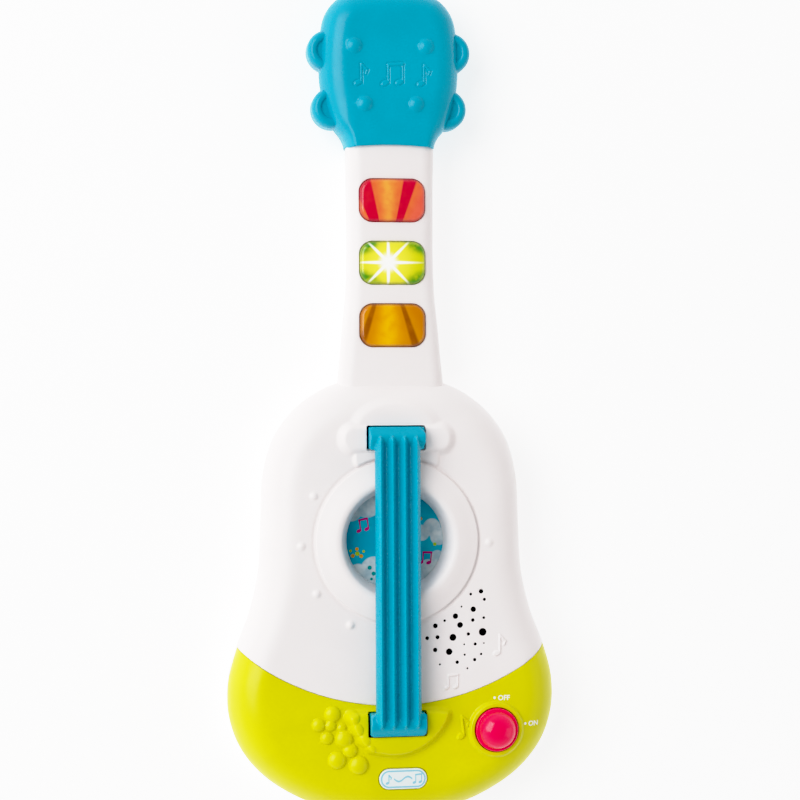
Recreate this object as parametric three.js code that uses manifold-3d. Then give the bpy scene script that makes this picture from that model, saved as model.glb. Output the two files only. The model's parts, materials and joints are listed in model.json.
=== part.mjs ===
// Toy electric guitar for toddlers: hollow moulded shells, three light-up keys on the neck, a rocking
// strum bar over the sound hole, a turning power knob, a loudspeaker and a battery bay in the back.
//
// Frame, in millimetres: the guitar lies on its back. +X is to the player's view right, +Y runs up the
// neck to the head and +Z out of the front face. The origin is the middle of the outline, on the floor.

import * as THREE from "three";
import { mergeVertices } from "three/addons/utils/BufferGeometryUtils.js";
import Module from "manifold-3d";

const wasm = await Module();
wasm.setup();

// ---------- driving dimensions ----------
const WALL = 2.5; // thickness of every moulded shell
const GAP = 0.3; // space left between neighbouring pieces
const PART_Z = 18; // plane where the front and rear shells meet

const BODY = { face: 40, back: 0, frontRadius: 20, rearRadius: 12, bend: 12 };
const NECK = { face: 32, back: 8, frontRadius: 5, rearRadius: 7, frontBend: 25, rearBend: 15 };
const HEAD = { face: 34, back: 6, frontRadius: 14, rearRadius: 10, collarShare: 0.42 };
const NECK_END = 145.2; // where the neck disappears into the head
const SPIGOT = { end: 153.5, step: 4.4 }; // tongue of the neck inside the head

// Right half of each outline, from the top down.
const BODY_HALF = [
  [0, 13.5], [26, 12], [42, 5.5], [56.5, -6], [67, -21.5], [72.5, -42], [73.8, -68], [75.2, -95],
  [80.2, -118], [88, -139], [92.8, -158], [92.3, -177], [85.5, -195.5], [70.5, -212.5], [45, -227],
  [20, -233], [0, -234.5],
];
const NECK_HALF = [
  [25.6, 175], [25.1, 150], [24.5, 118], [24.4, 80], [25.3, 58], [27.1, 41], [28.3, 27], [29.7, 13.6],
  [31, -5], [31.5, -25],
];
const HEAD_HALF = [
  [0, 234.5], [16, 233.6], [29, 229], [36.8, 219.5], [39.9, 206], [40.5, 195], [40.2, 183],
  [38.6, 172], [35.6, 162], [31.5, 154.3], [28, 150], [26, 145.8], [25.4, 138], [25.3, 130],
];

const SEAM = { radius: 136, centreY: -33.7, halfWidth: 110, low: -260 }; // white above, green below
const PEGS = [
  { x: 35.9, y: 200.7, radius: 12.1 },
  { x: 33.6, y: 166.2, radius: 11.9 },
];
const PEG = { low: 10, high: 27, wall: 2.2 };
const HEAD_DOTS = [[20.4, 200], [14.6, 167.6]];
const HEAD_DOT = { radius: 4, sink: 1.6 };

const KEY = {
  halfX: 19, halfY: 12.1, corner: 7.5, top: 34.6, shell: 1.8, flangeY: 14, flangeX: 15,
  flangeLow: 27.8, flangeHigh: 29.3, postX: 10.5, postRadius: 2, postLow: 27.3,
};
const KEY_ROWS = [
  { name: "red", y: 113.6, colour: 0xc4163c },
  { name: "green", y: 78.4, colour: 0x9ad21e },
  { name: "amber", y: 43.2, colour: 0xd88a08 },
];
const NECK_BOARD = { halfX: 16, low: 29, high: 131, bottom: 19.4, top: 21 };

const RING = { x: 0.7, y: -77.8, radius: 46.7, opening: 40.3, skirt: 39.8 };
const DISC = { radius: 36, bottom: 29.1, top: 30.7, posts: [[-14, -66], [14, -66], [2, -97]] };

const BAR = {
  halfX: 13, underside: 48, ridgeTop: 55, ridges: 4, ridgeRadius: 3.25,
  blockHalfX: 16.2, blockHalfY: 7, blockTop: 51.5, blockLow: 36,
  upperY: -20.1, lowerY: -179.4, pivotZ: 30, pinRadius: 2, pinHalf: 11.2, stemHalfX: 5, stemLow: 26.5,
  legX: 11, legLow: 27.5, clearance: 1.5,
};
const BRACKET = { halfX: 21, top: 37.2, bottom: 34.7, earLow: 26, earHalfX: 4, ear: 2.4, hole: 2.35 };

const KNOB = { x: 56.6, y: -184.6, radius: 12.2, opening: 12.6, collar: 15.1, collarTop: 42.2 };
const MAIN_BOARD = { left: -48, right: 70, low: -203, high: -160, bottom: 20.4, top: 22 };
const SPEAKER = { x: 34.5, y: -128.5, radius: 18, screwX: 21, bossLow: 34.1 };
const speakerScrews = [-1, 1].map((side) => [SPEAKER.x + side * SPEAKER.screwX, SPEAKER.y]);
const SPEAKER_HOLES = [
  // x, y, radius of each sound opening, scattered over the loudspeaker
  [48.4, -106.8, 1.2], [42.5, -108.3, 0.75], [50.3, -111.4, 0.85],
  [43.9, -116.8, 1.5], [33.7, -120.5, 1.5], [27.5, -122.9, 0.7], [43.6, -122.9, 0.95],
  [49.9, -121.7, 0.75], [22.2, -125.7, 1.3], [36.3, -125.5, 1.6], [49.2, -129.7, 2.1],
  [41, -130.7, 0.95], [17.5, -132.5, 1], [23.4, -132.1, 1.05], [32.2, -132.4, 1.9],
  [44.9, -136.4, 0.85], [22, -139.2, 1.15], [30, -140.4, 1.8],
  [44.6, -145.2, 0.9], [34.6, -146.4, 0.95],
];
const BADGE = { x: 3.5, y: -210.8, halfX: 13.5, halfY: 5.7, bottom: 39.1, top: 40.7, recess: 38.8 };

const BAY = { y: -80, halfX: 29, halfY: 23, ceiling: 17.5, wall: 2 };
const DOOR = { halfX: 33, halfY: 26.5, bottom: 0.3, top: 2, lugY: -110, lugRadius: 5, recess: 2.3 };
const CELL = { radius: 7.1, length: 49.2, nubRadius: 2.75, nub: 1, pitch: 14.9, z: 9.7 };

const CASE_SCREWS = [
  // x, y, height of the seat under the screw's head
  [-50, -14, 8], [50, -14, 8], [-63, -95, 8], [63, -95, 8], [-78, -160, 8], [78, -160, 8], [0, -222, 8],
  [0, 20, 12], [0, 136.5, 12], [0, 219, 12], [0, 181, 12],
];
const BODY_SCREWS = 9; // the first ones hold the body and neck, the others the head
const POST = { radius: 4.2, boss: 3.6, bore: 1.7, pilot: 1.6, counterbore: 3.3, pilotTop: 28 };
const SCREW = { head: 2.8, headHeight: 2.1, shank: 1.25, tip: 25.7 };

// ---------- materials ----------
const plastic = (color, roughness = 0.4) =>
  new THREE.MeshStandardMaterial({ color, roughness, metalness: 0 });
const metal = (color, roughness = 0.35) =>
  new THREE.MeshStandardMaterial({ color, roughness, metalness: 1 });
const WHITE = plastic(0xf4efec);
const LIME = plastic(0xcfd400, 0.35);
const BLUE = plastic(0x00a0c8, 0.35);
const PINK = plastic(0xff1464, 0.25);
const BLACK = plastic(0x151515, 0.6);
const RUBBER = plastic(0xb9b9b4, 0.8);
const BOARD = plastic(0x1f6b3a, 0.5);
const PAPER = plastic(0xa8d4de, 0.5);
const STEEL = metal(0xb8b8b8);
const NICKEL = metal(0xcfcbc0, 0.3);
const COPPER_SLEEVE = plastic(0x3a3a3c, 0.45);

// ---------- solids ----------
// A closed geometry as a solid, turned to face outwards.
function solidOf(geometry) {
  const bare = new THREE.BufferGeometry();
  bare.setAttribute("position", geometry.getAttribute("position"));
  bare.setIndex(geometry.getIndex());
  const merged = mergeVertices(bare, 1e-4);
  const triVerts = new Uint32Array(merged.index.array);
  const vertProperties = new Float32Array(merged.attributes.position.array);
  const made = new wasm.Manifold(new wasm.Mesh({ numProp: 3, vertProperties, triVerts }));
  if (made.volume() >= 0) return made;
  for (let i = 0; i < triVerts.length; i += 3) {
    [triVerts[i + 1], triVerts[i + 2]] = [triVerts[i + 2], triVerts[i + 1]];
  }
  return new wasm.Manifold(new wasm.Mesh({ numProp: 3, vertProperties, triVerts }));
}

// A solid's surface as a geometry.
function geometryOf(solid) {
  const mesh = solid.getMesh();
  const positions = new Float32Array(mesh.numVert * 3);
  for (let i = 0; i < mesh.numVert; i++) {
    positions.set(mesh.vertProperties.subarray(i * mesh.numProp, i * mesh.numProp + 3), i * 3);
  }
  return new THREE.BufferGeometry()
    .setAttribute("position", new THREE.BufferAttribute(positions, 3))
    .setIndex(new THREE.BufferAttribute(mesh.triVerts, 1));
}

const joined = (solids) => solids.reduce((sum, next) => sum.add(next));
const cut = (solid, tools) => tools.reduce((rest, tool) => rest.subtract(tool), solid);

function block([x0, x1], [y0, y1], [z0, z1]) {
  const box = new THREE.BoxGeometry(x1 - x0, y1 - y0, z1 - z0);
  return solidOf(box.translate((x0 + x1) / 2, (y0 + y1) / 2, (z0 + z1) / 2));
}

// A round bar along Z.
function rod(radius, x, y, [z0, z1], sides = 16, topRadius = radius) {
  const bar = new THREE.CylinderGeometry(topRadius, radius, z1 - z0, sides).rotateX(Math.PI / 2);
  return solidOf(bar.translate(x, y, (z0 + z1) / 2));
}

// A round bar along Y.
function rodY(radius, x, z, [y0, y1], sides = 16) {
  const bar = new THREE.CylinderGeometry(radius, radius, y1 - y0, sides);
  return solidOf(bar.translate(x, (y0 + y1) / 2, z));
}

// A profile of [radius, z] points turned about Z.
function turned(profile, x = 0, y = 0, sides = 32) {
  const points = profile.map(([r, z]) => new THREE.Vector2(r, z));
  const lathe = new THREE.LatheGeometry(points, sides).rotateX(Math.PI / 2);
  return solidOf(lathe.translate(x, y, 0));
}

// A flat shape pulled up along Z, with its edges chamfered by `bevel`.
function prism(shape, [z0, z1], bevel = 0, curveSegments = 6) {
  const options = {
    depth: z1 - z0 - 2 * bevel,
    bevelEnabled: bevel > 0,
    bevelThickness: bevel,
    bevelSize: bevel,
    bevelOffset: -bevel,
    bevelSegments: 1,
    curveSegments,
  };
  return solidOf(new THREE.ExtrudeGeometry(shape, options).translate(0, 0, z0 + bevel));
}

// Joins loops of equally many points into one closed solid.
function loft(loops) {
  const count = loops[0].length;
  const points = loops.flat();
  const index = [];
  for (let k = 0; k + 1 < loops.length; k++) {
    for (let i = 0; i < count; i++) {
      const a = k * count + i;
      const b = k * count + ((i + 1) % count);
      index.push(a, b, b + count, a, b + count, a + count);
    }
  }
  const last = (loops.length - 1) * count;
  for (const [p, q, r] of capTriangles(loops[0])) index.push(r, q, p);
  for (const [p, q, r] of capTriangles(loops.at(-1))) index.push(last + p, last + q, last + r);
  return solidOf(new THREE.BufferGeometry().setFromPoints(points).setIndex(index));
}

function capTriangles(loop) {
  if (loop.length === 4) return [[0, 1, 2], [0, 2, 3]];
  const flat = loop.map((p) => new THREE.Vector2(p.x, p.y));
  const turn = THREE.ShapeUtils.isClockWise(flat);
  const faces = THREE.ShapeUtils.triangulateShape(flat, []);
  return turn ? faces.map(([p, q, r]) => [p, r, q]) : faces;
}

// ---------- outlines ----------
const OPEN_END = 45; // neighbours further apart than this are the two sides of a straight end

// Both halves of an outline as one loop, anticlockwise. A smooth outline is also round at its ends.
function outline(half, count, smooth) {
  const right = half.map(([x, y]) => new THREE.Vector3(x, y, 0)).reverse();
  const left = right.map((p) => new THREE.Vector3(-p.x, p.y, 0)).reverse();
  if (smooth) {
    const curve = new THREE.CatmullRomCurve3([...right, ...left.slice(1, -1)], true, "centripetal");
    return curve.getSpacedPoints(count).slice(0, count);
  }
  if (half[0][0] === 0) {
    return new THREE.CatmullRomCurve3([...right, ...left.slice(1)], false, "centripetal")
      .getSpacedPoints(count - 1);
  }
  const side = new THREE.CatmullRomCurve3(right, false, "centripetal").getSpacedPoints(count / 2 - 1);
  return [...side, ...side.map((p) => new THREE.Vector3(-p.x, p.y, 0)).reverse()];
}

// The loop moved inwards by a distance, which may differ from point to point. The straight end of an
// open outline stays where it is.
function inset(loop, distance) {
  return loop.map((p, i) => {
    const before = loop[(i + loop.length - 1) % loop.length];
    const after = loop[(i + 1) % loop.length];
    const from = before.distanceTo(p) > OPEN_END ? p : before;
    const to = after.distanceTo(p) > OPEN_END ? p : after;
    const along = to.clone().sub(from).normalize();
    const inward = new THREE.Vector3(-along.y, along.x, 0);
    return p.clone().addScaledVector(inward, distance(p));
  });
}

const atHeight = (loop, z) => loop.map((p) => new THREE.Vector3(p.x, p.y, z));

// A cushion-shaped solid over a loop: straight from z.edge to z.bend, then a quarter ellipse that ends
// on a flat face at z.face. `shrink` moves its whole surface inwards, to make the hollow of a shell.
function pillow([fine, coarse], z, radius, { shrink = 0, share = () => 1, steps = 4 } = {}) {
  const loop = shrink ? coarse : fine;
  const side = Math.sign(z.face - z.edge);
  const face = z.face - side * shrink;
  const last = shrink ? 2 : steps;
  const loops = [atHeight(inset(loop, () => shrink), z.edge - (shrink ? side : 0))];
  for (let k = 0; k <= last; k++) {
    const angle = (k / last) * (Math.PI / 2);
    const depth = (radius - shrink) * (1 - Math.cos(angle));
    const height = z.bend + (face - z.bend) * Math.sin(angle);
    loops.push(atHeight(inset(loop, (p) => shrink + depth * share(p)), height));
  }
  if (!shrink && z.edge === z.bend) loops.shift();
  return loft(loops);
}

// Each outline's loop for the outside of a shell, and a coarser one for its hollow.
const BODY_LOOP = [outline(BODY_HALF, 50, true), outline(BODY_HALF, 30, true)];
const NECK_LOOP = [outline(NECK_HALF, 20, false), outline(NECK_HALF, 12, false)];
const HEAD_LOOP = [outline(HEAD_HALF, 35, false), outline(HEAD_HALF, 23, false)];

const FRONT_Z = PART_Z + GAP / 2;
const REAR_Z = PART_Z - GAP / 2;

const bodyFront = (shrink) =>
  pillow(BODY_LOOP, { edge: FRONT_Z, bend: FRONT_Z, face: BODY.face }, BODY.frontRadius, { shrink });
const bodyRear = (shrink) =>
  pillow(BODY_LOOP, { edge: REAR_Z, bend: BODY.bend, face: BODY.back }, BODY.rearRadius, {
    shrink, steps: 3,
  });
const neckFront = (shrink, end) =>
  pillow(NECK_LOOP, { edge: FRONT_Z, bend: NECK.frontBend, face: NECK.face }, NECK.frontRadius, {
    shrink, steps: 2,
  }).subtract(block([-60, 60], [end, 200], [-5, 60]));
const neckRear = (shrink, end) =>
  pillow(NECK_LOOP, { edge: REAR_Z, bend: NECK.rearBend, face: NECK.back }, NECK.rearRadius, {
    shrink, steps: 2,
  }).subtract(block([-60, 60], [end, 200], [-5, 60]));

// The tongue of a neck half that reaches into the head, and the bore through it.
const spigot = (neckHalf, zRange) =>
  neckHalf(SPIGOT.step, SPIGOT.end).intersect(block([-60, 60], [NECK_END - 1.5, 200], zRange));
const spigotBore = (neckHalf) => neckHalf(SPIGOT.step + WALL, SPIGOT.end + 5);

// The head's edge gets tighter where it narrows to the collar round the neck.
const collarShare = (p) => {
  const t = THREE.MathUtils.smoothstep(p.y, 147, 172);
  return HEAD.collarShare + (1 - HEAD.collarShare) * t;
};
const headHalf = (shrink, edge, face, radius) =>
  pillow(HEAD_LOOP, { edge, bend: edge, face }, radius, { shrink, share: collarShare })
    .subtract(block([-60, 60], [100, NECK_END + GAP], [-5, 60]));

// ---------- screws and their posts ----------
function post(x, y) {
  return rod(POST.radius, x, y, [0.5, REAR_Z - 0.3], 10);
}
function postHoles(x, y, seat) {
  return [
    rod(POST.counterbore, x, y, [-1, seat], 10),
    rod(POST.bore, x, y, [seat - 1, REAR_Z + 1], 8),
  ];
}
const boss = (x, y) => rod(POST.boss, x, y, [FRONT_Z + 0.5, BODY.face - 0.5], 10);
const pilot = (x, y) => rod(POST.pilot, x, y, [FRONT_Z - 1, POST.pilotTop], 8);

function screwGeometry({ head, headHeight, shank, length }) {
  const profile = [[0, -headHeight], [head, -headHeight], [head, 0], [shank, 0], [shank, length], [0, length]];
  const points = profile.map(([r, z]) => new THREE.Vector2(r, z));
  return geometryOf(solidOf(new THREE.LatheGeometry(points, 8).rotateX(Math.PI / 2)));
}

// ---------- shells ----------
// Everything below the curved seam, as a tool; `radius` moves the seam.
function belowSeam(radius) {
  const reach = Math.asin(SEAM.halfWidth / radius);
  const shape = new THREE.Shape();
  shape.absarc(0, SEAM.centreY, radius, -Math.PI / 2 - reach, -Math.PI / 2 + reach, false);
  shape.lineTo(SEAM.halfWidth, SEAM.low);
  shape.lineTo(-SEAM.halfWidth, SEAM.low);
  return prism(shape, [-5, 60], 0, 18);
}

function roundedRectangle(x, y, halfX, halfY, corner) {
  const shape = new THREE.Shape();
  shape.absarc(x + halfX - corner, y - halfY + corner, corner, -Math.PI / 2, 0);
  shape.absarc(x + halfX - corner, y + halfY - corner, corner, 0, Math.PI / 2);
  shape.absarc(x - halfX + corner, y + halfY - corner, corner, Math.PI / 2, Math.PI);
  shape.absarc(x - halfX + corner, y - halfY + corner, corner, Math.PI, 1.5 * Math.PI);
  return shape;
}

function circleShape(x, y, radius) {
  return new THREE.Shape().absarc(x, y, radius, 0, 2 * Math.PI);
}

// Raised saddle round the upper end of the strum bar: a rounded bar, an arch above and a step below.
function upperSaddle() {
  const bar = prism(roundedRectangle(0.6, -20.4, 33, 9.4, 9), [36, 44.6], 1.8, 6);
  const arch = new THREE.Shape();
  arch.absellipse(0, -16, 27, 18.5, 0, Math.PI);
  const step = roundedRectangle(0.6, -26, 24, 11.5, 5);
  const ringRoom = rod(RING.radius + 0.5, RING.x, RING.y, [BODY.face - 5, 60], 32);
  return joined([bar, prism(arch, [36, 42.6], 1.5, 10), prism(step, [36, 42.2], 1, 4).subtract(ringRoom)]);
}

// Raised crescent round the lower end of the strum bar.
function lowerSaddle() {
  const shape = new THREE.Shape();
  shape.moveTo(-24, -171.4);
  shape.lineTo(26, -171.4);
  shape.quadraticCurveTo(34.5, -171.6, 34, -177);
  shape.bezierCurveTo(31, -193, 17, -200.5, 1.5, -200.5);
  shape.bezierCurveTo(-14, -200.5, -27, -193, -31, -177);
  shape.quadraticCurveTo(-32, -171.6, -24, -171.4);
  return prism(shape, [36, 44.6], 1.8, 5);
}

const pocket = (y) => {
  const halfX = BAR.blockHalfX + BAR.clearance;
  const halfY = BAR.blockHalfY + BAR.clearance;
  return block([-halfX, halfX], [y - halfY, y + halfY], [20, 60]);
};

// A low round pip on the face, as part of the moulded relief.
function pip(x, y, radius, face, height) {
  const sphereRadius = (radius * radius + height * height) / (2 * height);
  const ball = new THREE.SphereGeometry(sphereRadius, 8, 6).rotateX(Math.PI / 2);
  const whole = solidOf(ball.translate(x, y, face + height - sphereRadius));
  return whole.intersect(block([x - 20, x + 20], [y - 20, y + 20], [face - 0.5, face + 20]));
}

const FACE_PIPS = [[-45.9, -52.2], [-52.9, -79.9], [-44.5, -106.5], [-25.7, -124.2], [53, -79.4]];
const BUBBLES = [
  // x, y, radius of the bubble relief beside the lower saddle
  [-36.7, -173.6, 4.6], [-42.9, -179.4, 4], [-35.6, -181.6, 3], [-38.6, -187.2, 3.4], [-31.4, -188, 4.6],
  [-27.6, -195.4, 4.6], [-35.4, -199, 4.8], [-22.6, -203.6, 5],
];

const onBody = CASE_SCREWS.slice(0, BODY_SCREWS);
const onHead = CASE_SCREWS.slice(BODY_SCREWS);

function frontShells() {
  const outer = joined([
    bodyFront(0), neckFront(0, NECK_END), spigot(neckFront, [FRONT_Z + 0.4, 60]), upperSaddle(), lowerSaddle(),
    ...FACE_PIPS.map(([x, y]) => pip(x, y, 2.6, BODY.face, 1.1)),
    ...BUBBLES.map(([x, y, r]) => pip(x, y, r, BODY.face, r * 0.55)),
  ]);
  const inner = bodyFront(WALL).add(neckFront(WALL, NECK_END - 2)).add(spigotBore(neckFront));
  const bosses = joined(onBody.map(([x, y]) => boss(x, y))).intersect(bodyFront(0).add(neckFront(0, 140)));
  const speakerBosses = speakerScrews.map(([x, y]) => rod(2.6, x, y, [SPEAKER.bossLow, 38], 8));
  const whole = cut(joined([outer.subtract(inner), bosses, ...speakerBosses]), [
    ...onBody.map(([x, y]) => pilot(x, y)),
    ...speakerScrews.map(([x, y]) => rod(1.5, x, y, [30, 36.8], 8)),
  ]);

  const keyholes = KEY_ROWS.map(({ y }) =>
    prism(roundedRectangle(0, y, KEY.halfX + GAP, KEY.halfY + GAP, KEY.corner + GAP), [26, 40], 0, 4));
  const soundHoles = SPEAKER_HOLES.map(([x, y, r]) => rod(r, x, y, [35, 45], 6));
  const white = cut(whole, [
    belowSeam(SEAM.radius), pocket(BAR.upperY), rod(RING.opening, RING.x, RING.y, [30, 45], 32),
    ...keyholes, ...soundHoles,
  ]);

  const knobCollar = turned([
    [KNOB.opening, 37.3], [KNOB.collar, 37.3], [KNOB.collar, 41.2], [KNOB.collar - 1, KNOB.collarTop],
    [KNOB.opening + 0.6, KNOB.collarTop], [KNOB.opening, 41.6], [KNOB.opening, 37.3],
  ], KNOB.x, KNOB.y, 24);
  const badgeRecess = prism(
    roundedRectangle(BADGE.x, BADGE.y, BADGE.halfX + GAP, BADGE.halfY + GAP, BADGE.halfY),
    [BADGE.recess, 45]);
  const green = cut(whole.intersect(belowSeam(SEAM.radius + GAP)).add(seamTongue()), [
    pocket(BAR.lowerY), rod(KNOB.collar - 0.5, KNOB.x, KNOB.y, [30, 50], 24), badgeRecess,
  ]).add(knobCollar);
  return { white, green };
}

// A stepped tongue along the green cover's edge, which reaches under the white shell.
function seamTongue() {
  const reach = 4;
  const inner = bodyFront(WALL + GAP + 1.5);
  const tongue = bodyFront(WALL + GAP).subtract(inner)
    .intersect(belowSeam(SEAM.radius - reach)).subtract(belowSeam(SEAM.radius + reach));
  const root = bodyFront(WALL - 0.6).subtract(inner)
    .intersect(belowSeam(SEAM.radius + 1)).subtract(belowSeam(SEAM.radius + reach - 0.5));
  return tongue.add(root)
    .subtract(block([-25, 25], [-200, -100], [0, 60]))
    .intersect(block([-100, 100], [-200, -100], [FRONT_Z + 0.8, 60]));
}

function rearShell() {
  const outer = joined([bodyRear(0), neckRear(0, NECK_END), spigot(neckRear, [-5, REAR_Z - 0.4])]);
  const inner = bodyRear(WALL).add(neckRear(WALL, NECK_END - 2)).add(spigotBore(neckRear));
  const top = BAY.ceiling + BAY.wall;
  const bayPad = block([-BAY.halfX - 7, BAY.halfX + 7], [BAY.y - 30, BAY.y + 30], [0, 5]);
  const bayBox = block(
    [-BAY.halfX - BAY.wall, BAY.halfX + BAY.wall],
    [BAY.y - BAY.halfY - BAY.wall, BAY.y + BAY.halfY + BAY.wall], [0, top]);
  const lugPost = rod(DOOR.lugRadius + 2, 0, DOOR.lugY, [0, 16], 16);
  const boardPosts = [[-40, -165], [-40, -198], [30, -198]].map(([x, y]) =>
    rod(3, x, y, [1, MAIN_BOARD.bottom - GAP], 10));
  const discPosts = DISC.posts.map(([x, y]) => rod(2, x, y, [18, DISC.bottom - GAP], 8));
  const neckPosts = [61, 96].map((y) => rod(2.6, 0, y, [9, NECK_BOARD.bottom - GAP], 10));
  const whole = joined([outer.subtract(inner), ...onBody.map(([x, y]) => post(x, y)).map((p) => p.intersect(outer)),
    bayPad, bayBox, lugPost, ...boardPosts, ...discPosts, ...neckPosts]);
  const recess = prism(doorShape(GAP), [-1, DOOR.recess], 0, 6);
  const bay = block([-BAY.halfX, BAY.halfX], [BAY.y - BAY.halfY, BAY.y + BAY.halfY], [-1, BAY.ceiling]);
  const lugPilot = rod(POST.pilot, 0, DOOR.lugY, [0, 14], 10);
  const terminalSlots = [-1, 1].map((side) =>
    block([side * 30 - 2.5, side * 30 + 2.5], [terminalY(side) - 2, terminalY(side) + 2], [11, 14]));
  return cut(whole, [
    ...onBody.flatMap(([x, y, seat]) => postHoles(x, y, seat)),
    recess, bay, lugPilot, ...terminalSlots,
  ]);
}

// The door's outline, with a round lug for its screw; `grow` widens it to make the recess.
function doorShape(grow) {
  const left = -DOOR.halfX - grow;
  const right = DOOR.halfX + grow;
  const high = BAY.y + DOOR.halfY + grow;
  const low = BAY.y - DOOR.halfY - grow;
  const lug = DOOR.lugRadius + grow;
  const shape = new THREE.Shape();
  shape.moveTo(right, high);
  shape.lineTo(left, high);
  shape.lineTo(left, low);
  shape.lineTo(-lug, low);
  shape.absarc(0, DOOR.lugY, lug, Math.PI, 2 * Math.PI);
  shape.lineTo(lug, low);
  shape.lineTo(right, low);
  return shape;
}

function headShells() {
  const pegs = (shrink) =>
    PEGS.flatMap(({ x, y, radius }) => [-x, x].map((px) => {
      const r = radius - shrink;
      const low = PEG.low + shrink;
      const high = PEG.high - shrink;
      const round = 3.2;
      return turned([
        [0, low], [r - round, low], [r - 0.8, low + 1.1], [r, low + round], [r, high - round],
        [r - 0.8, high - 1.1], [r - round, high], [0, high],
      ], px, y, 16);
    }));
  const above = block([-60, 60], [100, 250], [FRONT_Z, 60]);
  const below = block([-60, 60], [100, 250], [-5, REAR_Z]);
  const outerPegs = joined(pegs(0));
  const innerPegs = joined(pegs(PEG.wall));
  const shell = (edge, face, radius, half) => {
    const outer = headHalf(0, edge, face, radius).add(outerPegs.intersect(half));
    const inner = headHalf(WALL, edge, face, radius).add(innerPegs);
    return { outer, hollow: outer.subtract(inner) };
  };
  const front = shell(FRONT_Z, HEAD.face, HEAD.frontRadius, above);
  const rear = shell(REAR_Z, HEAD.back, HEAD.rearRadius, below);
  const dots = HEAD_DOTS.flatMap(([x, y]) => [-x, x].map((px) => pip(px, y, 3.6, HEAD.face, 2)));
  const bosses = joined(onHead.map(([x, y]) => boss(x, y))).intersect(front.outer);
  const posts = joined(onHead.map(([x, y]) => post(x, y))).intersect(rear.outer);
  return {
    front: cut(joined([front.hollow, bosses, ...dots]), onHead.map(([x, y]) => pilot(x, y))),
    rear: cut(rear.hollow.add(posts), onHead.flatMap(([x, y, seat]) => postHoles(x, y, seat))),
  };
}

// ---------- sound ring and picture disc ----------
function soundRing() {
  const face = BODY.face + GAP;
  const ring = turned([
    [RING.radius, face], [RING.radius, face + 1.2], [40, 43.6], [35.6, 45.4], [32.6, 45.9],
    [30.2, 45], [28.6, 41], [27.8, 31], [30.2, 31], [31, 40], [34, 42.8],
    [RING.skirt - 2, 41.4], [RING.skirt - 2, 34.6], [RING.skirt, 34.6], [RING.skirt, face],
    [RING.radius, face],
  ], RING.x, RING.y, 32);
  const hooks = [70, 190, 300].map((degrees) => {
    const hook = new THREE.BoxGeometry(3.4, 7, 1.6).translate(RING.skirt + 0.6, 0, 36.2);
    hook.rotateZ(THREE.MathUtils.degToRad(degrees)).translate(RING.x, RING.y, 0);
    return solidOf(hook);
  });
  return joined([ring, ...hooks]);
}

const soundDisc = () => rod(DISC.radius, RING.x, RING.y, [DISC.bottom, DISC.top], 32);

// ---------- strum bar ----------
function strumBar() {
  const pitch = (2 * (BAR.halfX - BAR.ridgeRadius)) / (BAR.ridges - 1);
  const section = new THREE.Shape();
  section.moveTo(-BAR.halfX, BAR.underside);
  section.lineTo(BAR.halfX, BAR.underside);
  const shoulder = BAR.ridgeTop - BAR.ridgeRadius;
  for (let i = BAR.ridges - 1; i >= 0; i--) {
    const x = -BAR.halfX + BAR.ridgeRadius + i * pitch;
    section.absarc(x, shoulder, BAR.ridgeRadius, 0.05, Math.PI - 0.05, false);
  }
  const from = BAR.upperY + BAR.blockHalfY - 3.5;
  const to = BAR.lowerY - BAR.blockHalfY + 3.5;
  const ribs = new THREE.ExtrudeGeometry(section, { depth: from - to, bevelEnabled: false, curveSegments: 6 })
    .rotateX(Math.PI / 2).translate(0, from, 0);
  const blocks = [BAR.upperY, BAR.lowerY].flatMap((y) => strumBlock(y, y === BAR.upperY ? 1 : -1));
  const legs = [-1, 1].map((side) =>
    block([side * BAR.legX - 2, side * BAR.legX + 2], [BAR.lowerY - 4, BAR.lowerY + 4], [BAR.legLow, 38]));
  const channel = block([-BAR.halfX + 2.6, BAR.halfX - 2.6], [BAR.lowerY + 9, BAR.upperY - 9],
    [BAR.underside - 2, BAR.underside + 1.8]);
  return joined([solidOf(ribs), ...blocks, ...legs]).subtract(channel);
}

// One end of the bar: a block that slopes down to its outer edge, and a stem with a pivot pin.
function strumBlock(y, outward) {
  const { blockHalfX: halfX, blockHalfY: halfY, blockTop: top, blockLow: low } = BAR;
  const side = new THREE.Shape();
  side.moveTo(-halfY, low);
  side.lineTo(halfY, low);
  side.lineTo(halfY, top - 3.2);
  side.lineTo(halfY - 1.2, top - 2);
  side.lineTo(-1, top);
  side.lineTo(-halfY, top);
  const wedge = new THREE.ExtrudeGeometry(side, { depth: 2 * halfX, bevelEnabled: false });
  wedge.translate(0, 0, -halfX).applyMatrix4(new THREE.Matrix4().makeBasis(
    new THREE.Vector3(0, outward, 0), new THREE.Vector3(0, 0, 1), new THREE.Vector3(1, 0, 0)));
  return [
    solidOf(wedge.translate(0, y, 0)),
    block([-BAR.stemHalfX, BAR.stemHalfX], [y - 5, y + 5], [BAR.stemLow, low + 1]),
    rodY(BAR.pinRadius, 0, BAR.pivotZ, [y - BAR.pinHalf, y + BAR.pinHalf], 12),
  ];
}

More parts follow.
